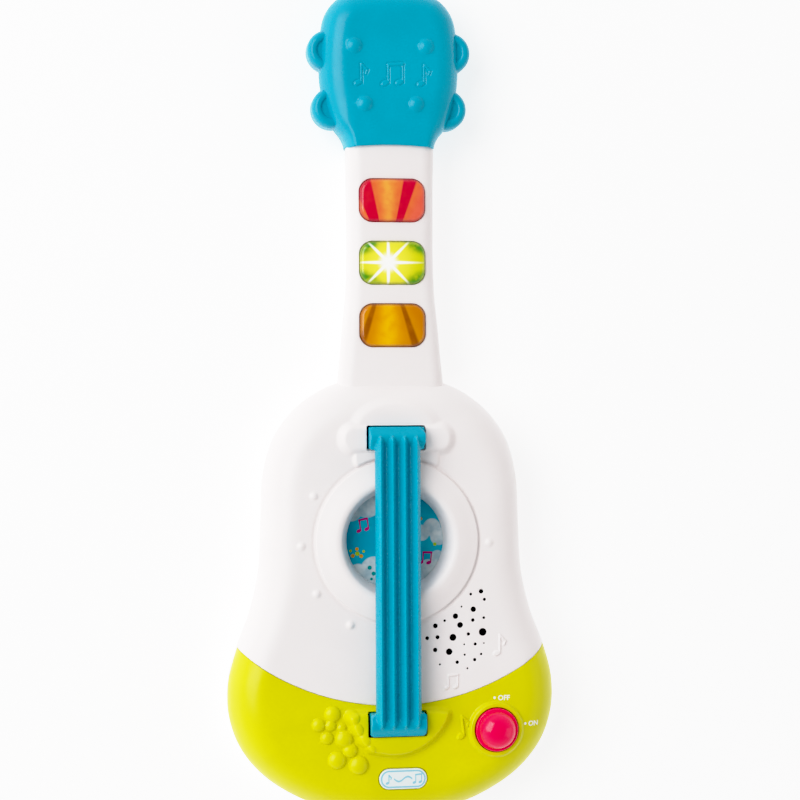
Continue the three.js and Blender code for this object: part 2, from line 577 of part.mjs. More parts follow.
// A frame under the front shell whose two ears carry one end's pivot pin.
function pivotBracket(y) {
  const openX = BAR.blockHalfX + BAR.clearance;
  const openY = BAR.blockHalfY + BAR.clearance;
  const reach = openY + 0.4 + BRACKET.ear;
  const frameY = reach + 1.6;
  const frame = block([-BRACKET.halfX, BRACKET.halfX], [y - frameY, y + frameY], [BRACKET.bottom, BRACKET.top])
    .subtract(block([-openX, openX], [y - openY, y + openY], [30, 40]));
  const ears = [-1, 1].map((side) => {
    const near = y + side * (reach - BRACKET.ear);
    const far = y + side * reach;
    return block([-BRACKET.earHalfX, BRACKET.earHalfX], [Math.min(near, far), Math.max(near, far)],
      [BRACKET.earLow, BRACKET.top]);
  });
  return joined([frame, ...ears]).subtract(rodY(BRACKET.hole, 0, BAR.pivotZ, [y - 30, y + 30], 16));
}

// A rubber dome that a leg or post presses, standing on a board at z.
const rubberDome = (x, y, z, top) => turned([
  [0, z], [4.2, z], [4.2, z + 0.8], [3.2, z + 1.4], [2.3, top], [0, top],
], x, y, 10);

// ---------- keys ----------
function keyCap(y) {
  const cap = prism(roundedRectangle(0, y, KEY.halfX, KEY.halfY, KEY.corner), [28.5, KEY.top], 0, 3)
    .intersect(prism(roundedRectangle(0, y, KEY.halfX, KEY.halfY, KEY.corner), [20, KEY.top], 1.2, 3));
  const flange = block([-KEY.flangeX, KEY.flangeX], [y - KEY.flangeY, y + KEY.flangeY],
    [KEY.flangeLow, KEY.flangeHigh]);
  const hollow = prism(
    roundedRectangle(0, y, KEY.halfX - KEY.shell, KEY.halfY - KEY.shell, KEY.corner - KEY.shell),
    [20, KEY.top - KEY.shell], 0, 3);
  const posts = [-1, 1].map((side) =>
    rod(KEY.postRadius, side * KEY.postX, y, [KEY.postLow, KEY.top - 1], 8));
  return joined([cap.add(flange).subtract(hollow), ...posts]);
}

function keyDomes(y) {
  const z = NECK_BOARD.top + GAP;
  const web = block([-15, 15], [y - 5, y + 5], [z, z + 0.8]).subtract(rod(3.6, 0, y, [z - 1, z + 2], 10));
  return joined([web, ...[-1, 1].map((side) => rubberDome(side * KEY.postX, y, z, KEY.postLow - GAP))]);
}

const ledLamp = (y) => {
  const z = NECK_BOARD.top + GAP;
  return turned([[0, z], [2.9, z], [2.9, z + 0.9], [2.5, z + 0.9], [2.5, z + 4], [1.6, z + 5.6], [0, z + 6]],
    0, y, 10);
};

// ---------- power knob ----------
function powerKnob() {
  return turned([
    [0, 23.5], [3, 23.5], [3, 32.6], [13.6, 32.6], [13.6, 34.8], [KNOB.radius, 34.8], [KNOB.radius, 42.6],
    [11.6, 45.2], [9.8, 47.8], [7, 49.9], [3.6, 51], [0, 51.3],
  ], KNOB.x, KNOB.y, 24);
}

function rotarySwitch() {
  const low = MAIN_BOARD.top + GAP;
  const shape = roundedRectangle(KNOB.x, KNOB.y, 8, 8, 1.5);
  shape.holes.push(circleShape(KNOB.x, KNOB.y, 3.9));
  return prism(shape, [low, 31], 0, 3);
}

// ---------- loudspeaker ----------
function speakerFrame() {
  const { x, y, radius } = SPEAKER;
  return turned([
    [8, 27.6], [11.5, 27.6], [15.8, 34], [radius, 34], [radius, 35.9], [15.8, 35.9], [15, 35.9],
    [10.6, 29.2], [8, 29.2], [8, 27.6],
  ], x, y, 24);
}
const speakerCone = () => turned([
  [0, 30.2], [4.4, 30.2], [14.4, 35.2], [14.4, 35.8], [4.6, 31.4], [3, 32.6], [0, 33.2],
], SPEAKER.x, SPEAKER.y, 20);
const speakerMagnet = () => rod(9.4, SPEAKER.x, SPEAKER.y, [20.4, 27.3], 24);

// A wire frame would rattle, so a flat ring with two screwed ears holds the loudspeaker's rim.
function speakerClamp() {
  const { x, y, radius } = SPEAKER;
  const shape = roundedRectangle(x, y, radius + 6.5, 4.2, 4);
  const ring = rod(radius + 1.4, x, y, [32, 33.7], 24);
  const bar = prism(shape, [32, 33.7], 0, 4);
  const ears = speakerScrews.map(([earX, earY]) => rod(1.7, earX, earY, [30, 35], 8));
  return cut(ring.add(bar), [rod(radius - 1.6, x, y, [30, 35], 24), ...ears]);
}

function speakerCloth() {
  const { x, y } = SPEAKER;
  const disc = rod(26.5, x + 1, y - 0.5, [36.4, 37.2], 24);
  return cut(disc, [
    rod(RING.skirt + 3.2, RING.x, RING.y, [30, 40], 40),
    block([BRACKET.halfX * -1, BRACKET.halfX + 1], [-200, -160], [30, 40]),
    boss(63, -95), belowSeam(SEAM.radius - 5), ...speakerScrews.map(([sx, sy]) => rod(3, sx, sy, [30, 40], 8)),
  ]);
}

// ---------- battery bay ----------
const cellY = (index) => BAY.y + (1 - index) * CELL.pitch;
const terminalY = (side) => (side > 0 ? cellY(2) : cellY(0));

// One cell along X, with its nub at +X; it is turned round for the middle place.
function cellGeometry() {
  const half = CELL.length / 2;
  const profile = [
    [0, -half], [CELL.radius - 0.6, -half], [CELL.radius, -half + 0.6], [CELL.radius, half - 0.6],
    [CELL.radius - 0.8, half], [CELL.nubRadius, half], [CELL.nubRadius, half + CELL.nub], [0, half + CELL.nub],
  ];
  const points = profile.map(([r, h]) => new THREE.Vector2(r, h));
  return geometryOf(solidOf(new THREE.LatheGeometry(points, 16).rotateZ(-Math.PI / 2)));
}

// A contact strip at one end of the bay: a plate over the cells it joins, with a conical spring for each
// negative end and a raised pad for each positive end. A terminal also has a tab through the bay wall.
function contact(side, ends, terminal) {
  const plateX = side * (BAY.halfX - 0.6);
  const ys = ends.map((e) => e.y);
  const plate = block([plateX - 0.25, plateX + 0.25], [Math.min(...ys) - 5, Math.max(...ys) + 5], [4.5, 15]);
  const pads = ends.map(({ y, spring }) => {
    const height = spring ? 3.5 : 2.5;
    const cone = new THREE.CylinderGeometry(spring ? 2 : 2.4, spring ? 4 : 3, height, 12)
      .rotateZ(side * Math.PI / 2).translate(plateX - side * height / 2, y, CELL.z);
    return solidOf(cone);
  });
  const tab = terminal
    ? [block([Math.min(plateX, side * 33.5), Math.max(plateX, side * 33.5)],
      [terminalY(side) - 1.5, terminalY(side) + 1.5], [12.2, 12.8])]
    : [];
  return joined([plate, ...pads, ...tab]);
}

function batteryDoor() {
  const plate = prism(doorShape(0), [DOOR.bottom, DOOR.top], 0, 6);
  const tongues = [-18, 18].map((x) =>
    block([x - 5, x + 5], [BAY.y + BAY.halfY - 2, BAY.y + BAY.halfY - 0.5], [DOOR.top - 0.5, 4.6]));
  const seat = rod(3, 0, DOOR.lugY, [0, 1.1], 14);
  return cut(joined([plate, ...tongues]), [seat, rod(1.7, 0, DOOR.lugY, [0, 3], 10)]);
}

// ---------- wiring ----------
function wire(points, radius = 0.8) {
  const path = new THREE.CatmullRomCurve3(points.map((p) => new THREE.Vector3(...p)));
  const section = new THREE.Shape().absarc(0, 0, radius, 0, 2 * Math.PI);
  const steps = Math.round(path.getLength() / (radius * 7));
  return solidOf(new THREE.ExtrudeGeometry(section, {
    steps, extrudePath: path, bevelEnabled: false, curveSegments: 3,
  }));
}

function ribbon(points, width, thickness) {
  const path = new THREE.CatmullRomCurve3(points.map((p) => new THREE.Vector3(...p)));
  const loops = path.getSpacedPoints(20).map((p, i) => {
    const along = path.getTangentAt(i / 20);
    const across = new THREE.Vector3(along.y, -along.x, 0).normalize().multiplyScalar(width / 2);
    const up = new THREE.Vector3(0, 0, thickness / 2);
    return [[1, 1], [-1, 1], [-1, -1], [1, -1]].map(([a, b]) =>
      p.clone().addScaledVector(across, a).addScaledVector(up, b));
  });
  return loft(loops);
}

// ---------- assembly ----------
const guitar = new THREE.Group();
guitar.name = "toy_guitar";

function add(name, made, material, place = null) {
  const geometry = made.isBufferGeometry ? made : geometryOf(made);
  const mesh = new THREE.Mesh(geometry, material);
  mesh.name = name;
  if (place) mesh.position.set(...place);
  guitar.add(mesh);
  return mesh;
}

const { white, green } = frontShells();
const head = headShells();
add("front_shell", white, WHITE);
add("lower_front_cover", green, LIME);
add("rear_shell", rearShell(), WHITE);
add("head_front_shell", head.front, BLUE);
add("head_rear_shell", head.rear, BLUE);
add("sound_ring", soundRing(), WHITE);
add("sound_disc", soundDisc(), PAPER);

add("neck_board", block([-NECK_BOARD.halfX, NECK_BOARD.halfX], [NECK_BOARD.low, NECK_BOARD.high],
  [NECK_BOARD.bottom, NECK_BOARD.top]), BOARD);
for (const { name, y, colour } of KEY_ROWS) {
  const tint = plastic(colour, 0.15);
  add(`${name}_key`, keyCap(y), tint);
  add(`${name}_key_dome`, keyDomes(y), RUBBER);
  add(`${name}_key_lamp`, ledLamp(y), tint);
}

add("strum_bar", strumBar(), BLUE);
add("upper_pivot_bracket", pivotBracket(BAR.upperY), WHITE);
add("lower_pivot_bracket", pivotBracket(BAR.lowerY), WHITE);
for (const [side, name] of [[-1, "left"], [1, "right"]]) {
  add(`strum_dome_${name}`,
    rubberDome(side * BAR.legX, BAR.lowerY, MAIN_BOARD.top + GAP, BAR.legLow - GAP), RUBBER);
}

add("power_knob", powerKnob(), PINK);
add("rotary_switch", rotarySwitch(), BLACK);
add("badge", prism(roundedRectangle(BADGE.x, BADGE.y, BADGE.halfX, BADGE.halfY, BADGE.halfY - 0.1),
  [BADGE.bottom, BADGE.top], 0, 6), PAPER);

const shaftRoom = rod(3.6, KNOB.x, KNOB.y, [15, 30], 14);
add("main_board", block([MAIN_BOARD.left, MAIN_BOARD.right], [MAIN_BOARD.low, MAIN_BOARD.high],
  [MAIN_BOARD.bottom, MAIN_BOARD.top]).subtract(shaftRoom), BOARD);
add("sound_chip", turned([[0, 0], [6, 0], [5.4, 1.2], [3.6, 2], [0, 2.4]], 0, 0, 16), BLACK,
  [-30, -186, MAIN_BOARD.top + GAP]);
add("board_capacitor", rod(3.1, 0, 0, [0, 9], 14), COPPER_SLEEVE, [32, -170, MAIN_BOARD.top + GAP]);

add("speaker_frame", speakerFrame(), STEEL);
add("speaker_cone", speakerCone(), BLACK);
add("speaker_magnet", speakerMagnet(), STEEL);
add("speaker_clamp", speakerClamp(), BLACK);
add("speaker_cloth", speakerCloth(), BLACK);
const shortScrew = screwGeometry({ head: 2.4, headHeight: 1.6, shank: 1.2, length: 4.3 });
speakerScrews.forEach(([x, y], index) => {
  add(`speaker_screw_${index + 1}`, shortScrew, STEEL, [x, y, 32 - GAP]);
});

add("battery_door", batteryDoor(), WHITE);
add("battery_door_screw", screwGeometry({ head: 2.6, headHeight: 0.5, shank: 1.25, length: 9 }), STEEL,
  [0, DOOR.lugY, 0.8]);
const cell = cellGeometry();
for (const index of [0, 1, 2]) {
  const mesh = add(`battery_${index + 1}`, cell, NICKEL, [0, cellY(index), CELL.z]);
  mesh.rotation.z = index === 1 ? Math.PI : 0;
}
const [first, second, third] = [0, 1, 2].map(cellY);
add("battery_contact_negative", contact(-1, [{ y: first, spring: true }], true), NICKEL);
add("battery_contact_link_right",
  contact(1, [{ y: first, spring: false }, { y: second, spring: true }], false), NICKEL);
add("battery_contact_link_left",
  contact(-1, [{ y: second, spring: false }, { y: third, spring: true }], false), NICKEL);
add("battery_contact_positive", contact(1, [{ y: third, spring: false }], true), NICKEL);

const RED_WIRE = plastic(0xb5201c, 0.5);
const BLACK_WIRE = plastic(0x1b1b1b, 0.5);
add("battery_lead_red", wire([[35, -94.7, 12.5], [42, -104, 9], [47, -122, 8], [44, -145, 12],
  [37, -154, 20.5], [35, -159, 23.8], [34, -163, 23.4]]), RED_WIRE);
add("battery_lead_black", wire([[-35, -65.1, 12.5], [-45, -76, 9], [-49, -110, 8], [-38, -145, 12],
  [-31, -154, 20.5], [-29, -159, 23.8], [-28, -163, 23.4]]), BLACK_WIRE);
add("speaker_lead", wire([[20, -137.5, 30], [15, -146, 27], [14, -154, 24], [15, -161.5, 23.4]]), BLACK_WIRE);
add("neck_cable", ribbon([[-8, 33, 22], [-14, 20, 23.4], [-24, -5, 24.6], [-25, -60, 24.8],
  [-22, -120, 24.8], [-14, -161, 23.2]], 7, 0.8), RUBBER);

CASE_SCREWS.forEach(([x, y, seat], index) => {
  const screw = screwGeometry({ ...SCREW, length: SCREW.tip - seat + GAP });
  add(`case_screw_${index + 1}`, screw, STEEL, [x, y, seat - GAP]);
});

export default guitar;
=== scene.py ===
import json
import math

import bmesh
import bpy
import numpy as np
from mathutils import Matrix, Vector
from mathutils.geometry import delaunay_2d_cdt


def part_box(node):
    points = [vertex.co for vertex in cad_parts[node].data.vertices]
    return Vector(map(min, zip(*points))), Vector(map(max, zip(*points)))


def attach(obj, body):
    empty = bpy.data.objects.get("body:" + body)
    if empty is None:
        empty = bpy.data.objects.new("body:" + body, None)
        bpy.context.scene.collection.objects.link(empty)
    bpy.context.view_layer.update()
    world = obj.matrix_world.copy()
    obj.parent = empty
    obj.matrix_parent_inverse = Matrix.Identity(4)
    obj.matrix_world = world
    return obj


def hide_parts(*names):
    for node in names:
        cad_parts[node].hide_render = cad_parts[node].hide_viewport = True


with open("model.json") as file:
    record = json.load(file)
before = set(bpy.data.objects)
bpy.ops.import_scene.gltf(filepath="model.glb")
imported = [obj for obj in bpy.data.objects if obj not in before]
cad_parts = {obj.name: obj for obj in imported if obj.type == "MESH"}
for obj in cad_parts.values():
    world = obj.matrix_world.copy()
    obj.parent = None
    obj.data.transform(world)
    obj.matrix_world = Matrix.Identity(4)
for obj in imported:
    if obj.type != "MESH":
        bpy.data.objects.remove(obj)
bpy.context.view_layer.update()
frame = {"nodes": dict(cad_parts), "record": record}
MM = 0.001


def corners(node):
    """Lowest and highest corner of a CAD node, in millimetres."""
    low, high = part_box(node)
    return np.array(low) / MM, np.array(high) / MM


def middle(node):
    low, high = corners(node)
    return (low + high) / 2


# ---------- dimensions ----------
FRONT_Z = corners("front_shell")[0][2]  # the shells meet here, with a small gap
REAR_Z = FRONT_Z - 0.3
WALL = 2.2
TAU = 2 * math.pi

BODY = {"face": 40.0, "front": 20.0, "rear": 12.0, "bend": 12.0}
NECK = {"front": {"face": 32.0, "width": 8.0, "drop": 7.5}, "rear": {"face": -8.0, "width": 7.0, "drop": 7.0},
        "low": 1, "end": 150}
HEAD = {"face": 34.0, "back": -6.0, "front": 15.0, "rear": 10.0, "collar": 0.42, "end": 143.1}

# Right halves of the outlines, from the top down.
BODY_HALF = [
    (0, 13.5), (26, 12), (42, 5.5), (56.5, -6), (67, -21.5), (72.5, -42), (73.8, -68), (75.2, -95),
    (80.2, -118), (88, -139), (92.8, -158), (92.3, -177), (85.5, -195.5), (70.5, -212.5), (45, -227),
    (20, -233), (0, -234.5),
]
NECK_HALF = [
    (25.6, 175), (25.1, 150), (24.5, 118), (24.4, 80), (25.3, 58), (27.1, 41), (28.3, 27), (29.7, 13.6),
    (31, -5), (31.5, -25),
]
HEAD_HALF = [
    (0, 234.49), (16, 233.6), (29, 229), (36.6, 219.5), (39.4, 206), (40, 195), (39.7, 183), (38.2, 172),
    (35.3, 162), (31.3, 154.3), (27.9, 150), (26, 145.8), (25.4, 138), (25.3, 130),
]
SEAM = {"y": -33.7, "radius": 136.0, "gap": 0.15}  # white above this arc, lime below

RING_X, RING_Y, _ = middle("sound_ring")
RING = {"outer": 45.8, "opening": 40.3}
LENS_Y = {colour: middle(f"{colour}_key")[1] for colour in ("red", "green", "amber")}
LENS = {"x": 18.5, "y": 12.0, "corner": 7.3, "gap": 0.3, "top": corners("red_key")[1][2]}
BAR = {"x": 12.6, "block_x": 15.6, "block_y": 6.4, "upper": -20.1, "lower": -179.4, "clearance": (1.0, 0.6),
       "underside": 47.1}
RIDGE_PITCH = 2 * BAR["x"] / 3.75
KNOB_X, KNOB_Y, _ = middle("power_knob")
KNOB = {"radius": 12.2, "opening": 12.6, "collar": 15.1}
BADGE_X, BADGE_Y, _ = middle("badge")
BADGE = {"x": 13.5, "y": 5.7, "top": corners("badge")[1][2], "bottom": corners("badge")[0][2]}
DOOR = {"x": 33.0, "high": -53.5, "low": -106.5, "lug_y": -110.0, "lug": 5.0}
SPEAKER_HOLES = [
    (48.4, -106.8, 1.25), (42.5, -108.3, 0.75), (50.3, -111.4, 0.85), (37.2, -115.2, 0.5),
    (43.9, -116.8, 1.5), (33.7, -120.5, 1.5), (27.5, -122.9, 0.7), (43.6, -122.9, 0.97),
    (49.9, -121.7, 0.75), (22.2, -125.7, 1.3), (36.3, -125.5, 1.6), (49.2, -129.7, 2.15),
    (41, -130.7, 0.93), (17.5, -132.5, 1.05), (23.4, -132.1, 1.1), (32.2, -132.4, 1.9),
    (44.9, -136.4, 0.85), (38.6, -136.5, 0.45), (49.9, -136, 0.42), (22, -139.2, 1.2),
    (30, -140.4, 1.8), (38.9, -142.3, 0.6), (48.3, -142.1, 0.65), (44.6, -145.2, 0.9),
    (34.6, -146.4, 0.95), (24.7, -147.4, 0.55), (40.4, -150, 0.5),
]
# Raised details, as (x, y, radius), and notes, as (x, y, size, beamed).
FACE_PIPS = [(-45.9, -52.2, 2.9), (-52.9, -79.9, 2.9), (-44.5, -106.5, 2.9), (-25.7, -124.2, 2.9),
             (53, -79.4, 2.9)]
HEAD_PIPS = [(-21.2, 200.2, 4.6), (19.6, 200.4, 4.6), (-15.4, 167.6, 4.6), (13.8, 167.8, 4.6)]
HEAD_NOTES = [(-17.5, 184.3, 13.5, False), (0.8, 184.3, 13.5, True), (18.2, 184.3, 13.5, False)]
WHITE_NOTES = [(58.8, -137, 12.5, False), (31.4, -157.2, 8.8, True)]
LIME_NOTE = (37.6, -182.6, 13.5, False)
BUBBLES = [
    (-36, -173.6, 4.2), (-43.9, -179.5, 3.5), (-37.2, -179.9, 2.9), (-39.2, -186.8, 3.3), (-31, -181.4, 2.4),
    (-29.6, -187.5, 4.7), (-26.2, -194, 3.9), (-33.6, -199.2, 4.8), (-21.5, -202.4, 5.1),
]
LOBES = [(-25.6, -175.4, 4.4), (-23.2, -182.2, 4.0), (-19.2, -188.4, 3.8), (-15.2, -193.6, 3.0)]
PEGS = [(-35.2, 198.8, 11.7), (34.8, 198.8, 11.7), (-32.8, 166.4, 11.7), (32.6, 166.6, 11.6)]
PEG_LOW = 10.0  # the pegs' lowest level
CASE_SCREWS = [f"case_screw_{i}" for i in range(1, 12)]
WELL = 3.3  # radius of a screw's counterbore
CUP, BORE = 4.9, 1.6  # outside radius of the tube round it, and the radius of the screw's hole
FLOOR = 1.6  # thickness of the land that the screw's head clamps


# ---------- plane geometry ----------
def resample(line, step):
    """The same polyline with evenly spaced points, its ends kept."""
    line = np.array(line, float)
    at = np.concatenate([[0], np.cumsum(np.linalg.norm(np.diff(line, axis=0), axis=1))])
    want = np.linspace(0, at[-1], max(2, round(at[-1] / step)) + 1)
    return np.column_stack([np.interp(want, at, line[:, k]) for k in range(line.shape[1])])


def curve(points, step, closed):
    """Centripetal Catmull-Rom through the points, resampled at an even step."""
    p = np.array(points, float)
    if closed:
        ctrl = np.vstack([p[-1:], p, p[:2]])
    else:
        ctrl = np.vstack([2 * p[:1] - p[1:2], p, 2 * p[-1:] - p[-2:-1]])
    parts = []
    for p0, p1, p2, p3 in zip(ctrl, ctrl[1:], ctrl[2:], ctrl[3:]):
        k1 = math.sqrt(np.linalg.norm(p1 - p0))
        k2 = k1 + math.sqrt(np.linalg.norm(p2 - p1))
        k3 = k2 + math.sqrt(np.linalg.norm(p3 - p2))
        t = np.linspace(k1, k2, 24, endpoint=False)[:, None]
        a1 = (k1 - t) / k1 * p0 + t / k1 * p1
        a2 = (k2 - t) / (k2 - k1) * p1 + (t - k1) / (k2 - k1) * p2
        a3 = (k3 - t) / (k3 - k2) * p2 + (t - k2) / (k3 - k2) * p3
        b1 = (k2 - t) / k2 * a1 + t / k2 * a2
        b2 = (k3 - t) / (k3 - k1) * a2 + (t - k1) / (k3 - k1) * a3
        parts.append((k2 - t) / (k2 - k1) * b1 + (t - k1) / (k2 - k1) * b2)
    dense = np.vstack(parts + [p[:1] if closed else p[-1:]])
    return resample(dense, step)[: -1 if closed else None]


def mirrored(half, step, closed):
    """Both halves of an outline whose top point is on the axis, anticlockwise from its low end."""
    left = [(-x, y) for x, y in half]
    return curve(half[::-1] + left[1 : -1 if closed else None], step, closed)


def circle(x, y, radius, count):
    angle = np.arange(count) * TAU / count
    return np.column_stack([x + radius * np.cos(angle), y + radius * np.sin(angle)])


def rounded_loop(x, y, half_x, half_y, corner, step):
    """A rounded rectangle, anticlockwise from its low right corner."""
    points = []
    for (sx, sy), start in zip(((1, -1), (1, 1), (-1, 1), (-1, -1)), (-90, 0, 90, 180)):
        turn = np.radians(start + np.linspace(0, 90, max(3, round(corner * 1.6 / step)) + 1))
        centre = np.array([x + sx * (half_x - corner), y + sy * (half_y - corner)])
        points.append(centre + corner * np.column_stack([np.cos(turn), np.sin(turn)]))
    return keep_corners(np.vstack(points + [points[0][:1]]), step)


def keep_corners(line, step):
    """A closed line, given with its first point repeated, with points added between its corners."""
    out = []
    for a, b in zip(line, line[1:]):
        length = math.hypot(b[0] - a[0], b[1] - a[1])
        parts = max(1, round(length / step))
        out += [(a[0] + (b[0] - a[0]) * k / parts, a[1] + (b[1] - a[1]) * k / parts) for k in range(parts)]
    return drop_crowded(np.array(out), 0.12)


def drop_crowded(loop, shortest):
    """Drops points that crowd their neighbour."""
    kept = [loop[0]]
    for p in loop[1:]:
        if np.linalg.norm(p - kept[-1]) > shortest:
            kept.append(p)
    if np.linalg.norm(kept[-1] - kept[0]) <= shortest:
        kept.pop()
    return np.array(kept)


def distance(x, y, line, closed=True):
    """Distance from each point to a polyline."""
    ends = np.roll(line, -1, axis=0) if closed else line[1:]
    best = np.full(np.shape(x), 1e9)
    for (ax, ay), (bx, by) in zip(line, ends):
        dx, dy = bx - ax, by - ay
        t = np.clip(((x - ax) * dx + (y - ay) * dy) / (dx * dx + dy * dy + 1e-12), 0, 1)
        best = np.minimum(best, (x - ax - t * dx) ** 2 + (y - ay - t * dy) ** 2)
    return np.sqrt(best)


def inside(x, y, loop):
    """Whether each point is inside a loop."""
    odd = np.zeros(np.shape(x), bool)
    for (ax, ay), (bx, by) in zip(loop, np.roll(loop, -1, axis=0)):
        if ay != by:
            odd ^= ((ay > y) != (by > y)) & (x < (bx - ax) * (y - ay) / (by - ay) + ax)
    return odd


def inward(loop, reach, closed=True):
    """A copy of an anticlockwise loop moved inwards by reach, a number or one for each point."""
    after, before = np.roll(loop, -1, axis=0), np.roll(loop, 1, axis=0)
    if not closed:
        after[-1], before[0] = loop[-1], loop[0]
    along = after - before
    along /= np.linalg.norm(along, axis=1)[:, None]
    reach = np.broadcast_to(reach, (len(loop),))[:, None]
    return loop + np.column_stack([-along[:, 1], along[:, 0]]) * reach


def hexgrid(low, high, step):
    x, y = np.meshgrid(np.arange(low[0], high[0], step), np.arange(low[1], high[1], step * 0.866))
    return np.column_stack([(x + (np.arange(len(x)) % 2)[:, None] * step / 2).ravel(), y.ravel()])


def smooth(value, low, high):
    t = np.clip((value - low) / (high - low), 0, 1)
    return t * t * (3 - 2 * t)


def quarter(t):
    """Height of a quarter circle: 0 at its rim and 1 a full radius in."""
    t = 1 - np.clip(t, 0, 1)
    return np.sqrt(1 - t * t)


# ---------- shapes as distances: positive inside, negative outside ----------
def box_sd(x, y, cx, cy, half_x, half_y, corner):
    qx = np.abs(x - cx) - (half_x - corner)
    qy = np.abs(y - cy) - (half_y - corner)
    outside = np.hypot(np.maximum(qx, 0), np.maximum(qy, 0))
    return corner - outside - np.minimum(np.maximum(qx, qy), 0)


def disc_sd(x, y, cx, cy, radius):
    return radius - np.hypot(x - cx, y - cy)


def in_discs(x, y, spots, grow):
    """Whether each point is inside one of some discs, each of them made larger by grow."""
    return np.logical_or.reduce([disc_sd(x, y, cx, cy, radius + grow) > 0 for cx, cy, radius in spots])


def stroke_sd(x, y, a, b, radius):
    dx, dy = b[0] - a[0], b[1] - a[1]
    t = np.clip(((x - a[0]) * dx + (y - a[1]) * dy) / (dx * dx + dy * dy), 0, 1)
    return radius - np.hypot(x - a[0] - t * dx, y - a[1] - t * dy)


def note_sd(x, y, cx, cy, size, beamed=False, turn=0.0):
    """A music note about size high, with its middle at (cx, cy)."""
    c, s = math.cos(turn), math.sin(turn)
    u = ((x - cx) * c + (y - cy) * s) / size
    v = (-(x - cx) * s + (y - cy) * c) / size
    heads = [(-0.36, -0.38), (0.24, -0.34)] if beamed else [(-0.14, -0.38)]
    parts = []
    for hx, hy in heads:
        parts.append(0.15 - np.hypot((u - hx) * 0.85, (v - hy) * 1.15 - (u - hx) * 0.25))
        parts.append(stroke_sd(u, v, (hx + 0.15, hy), (hx + 0.15, 0.42), 0.045))
    if beamed:
        parts.append(stroke_sd(u, v, (-0.21, 0.4), (0.39, 0.44), 0.075))
    else:
        parts.append(stroke_sd(u, v, (0.01, 0.42), (0.26, 0.16), 0.06))
        parts.append(stroke_sd(u, v, (0.26, 0.16), (0.2, 0.0), 0.05))
    return np.maximum.reduce(parts) * size


# ---------- meshes ----------
def linked(name, data):
    """A new object in the scene."""
    made = bpy.data.objects.new(name, data)
    bpy.context.scene.collection.objects.link(made)
    return made


def make(name, solid, body, material, replaces, sharp=38):
    """A piece from a solid's vertices and faces, in millimetres."""
    vertices, faces = solid
    mesh = bpy.data.meshes.new(name)
    mesh.from_pydata((np.asarray(vertices) * MM).tolist(), [], [list(map(int, f)) for f in faces])
    mesh.validate()
    mesh.shade_smooth()
    mesh.set_sharp_from_angle(angle=math.radians(sharp))
    mesh.materials.append(material)
    piece = linked(name, mesh)
    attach(piece, body)
    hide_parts(*replaces)


def joined(*solids):
    """Several closed solids as one."""
    vertices, faces, start = [], [], 0
    for v, f in solids:
        vertices.append(np.asarray(v))
        faces += [[i + start for i in face] for face in f]
        start += len(v)
    return np.vstack(vertices), faces


def moved(solid, offset):
    return np.asarray(solid[0]) + offset, solid[1]


def rim_of(faces, count):
    """The edges that only one triangle uses, each in its triangle's direction."""
    sides = np.vstack([faces[:, [0, 1]], faces[:, [1, 2]], faces[:, [2, 0]]]).astype(np.int64)
    key = sides[:, 0] * count + sides[:, 1]
    twin = sides[:, 1] * count + sides[:, 0]
    return sides[~np.isin(key, twin)]


def closed_between(top, faces, bottom):
    """The solid between a top sheet of triangles and a bottom sheet with the same triangles."""
    count = len(top)
    walls = [(b, a, a + count, b + count) for a, b in rim_of(faces, count)]
    return np.vstack([top, bottom]), [*faces.tolist(), *(faces[:, ::-1] + count).tolist(), *walls]


def facing_up(points, faces):
    """The same triangles, all anticlockwise."""
    a, b, c = (points[faces[:, k]] for k in range(3))
    area = (b[:, 0] - a[:, 0]) * (c[:, 1] - a[:, 1]) - (b[:, 1] - a[:, 1]) * (c[:, 0] - a[:, 0])
    faces[area < 0] = faces[area < 0][:, ::-1]
    return faces


def vertex_normals(vertices, faces):
    a, b, c = (vertices[faces[:, k]] for k in range(3))
    face = np.cross(b - a, c - a)
    out = np.zeros_like(vertices)
    for k in range(3):
        np.add.at(out, faces[:, k], face)
    return out / np.maximum(np.linalg.norm(out, axis=1), 1e-12)[:, None]


def with_skirt(top, faces, border, level):
    """Runs the sheet straight down to a level along its border."""
    count = len(top)
    on_border = distance(top[:, 0], top[:, 1], border) < 0.02
    rim = rim_of(faces, count)
    rim = rim[on_border[rim[:, 0]] & on_border[rim[:, 1]]]
    used = np.unique(rim)
    below = {int(v): count + i for i, v in enumerate(used)}
    skirt = top[used].copy()
    skirt[:, 2] = level
    extra = []
    for a, b in rim.tolist():
        extra += [(a, below[a], b), (b, below[a], below[b])]
    return np.vstack([top, skirt]), np.vstack([faces, extra])


def triangulated(loops, grid):
    """Points and anticlockwise triangles inside the first loop and outside the others."""
    points, edges = [], []
    for line in loops:
        start = len(points)
        points += line.tolist()
        edges += [(start + i, start + (i + 1) % len(line)) for i in range(len(line))]
    points += grid.tolist()
    made, _, faces, *_ = delaunay_2d_cdt([Vector(p) for p in points], edges, [], 0, 1e-6)
    xy = np.array([tuple(p) for p in made])
    faces = np.array([f for f in faces if len(f) == 3])
    centre = xy[faces].mean(axis=1)
    keep = inside(*centre.T, loops[0])
    for hole in loops[1:]:
        keep &= ~inside(*centre.T, hole)
    used, faces = np.unique(faces[keep], return_inverse=True)
    return xy[used], facing_up(xy[used], faces.reshape(-1, 3))


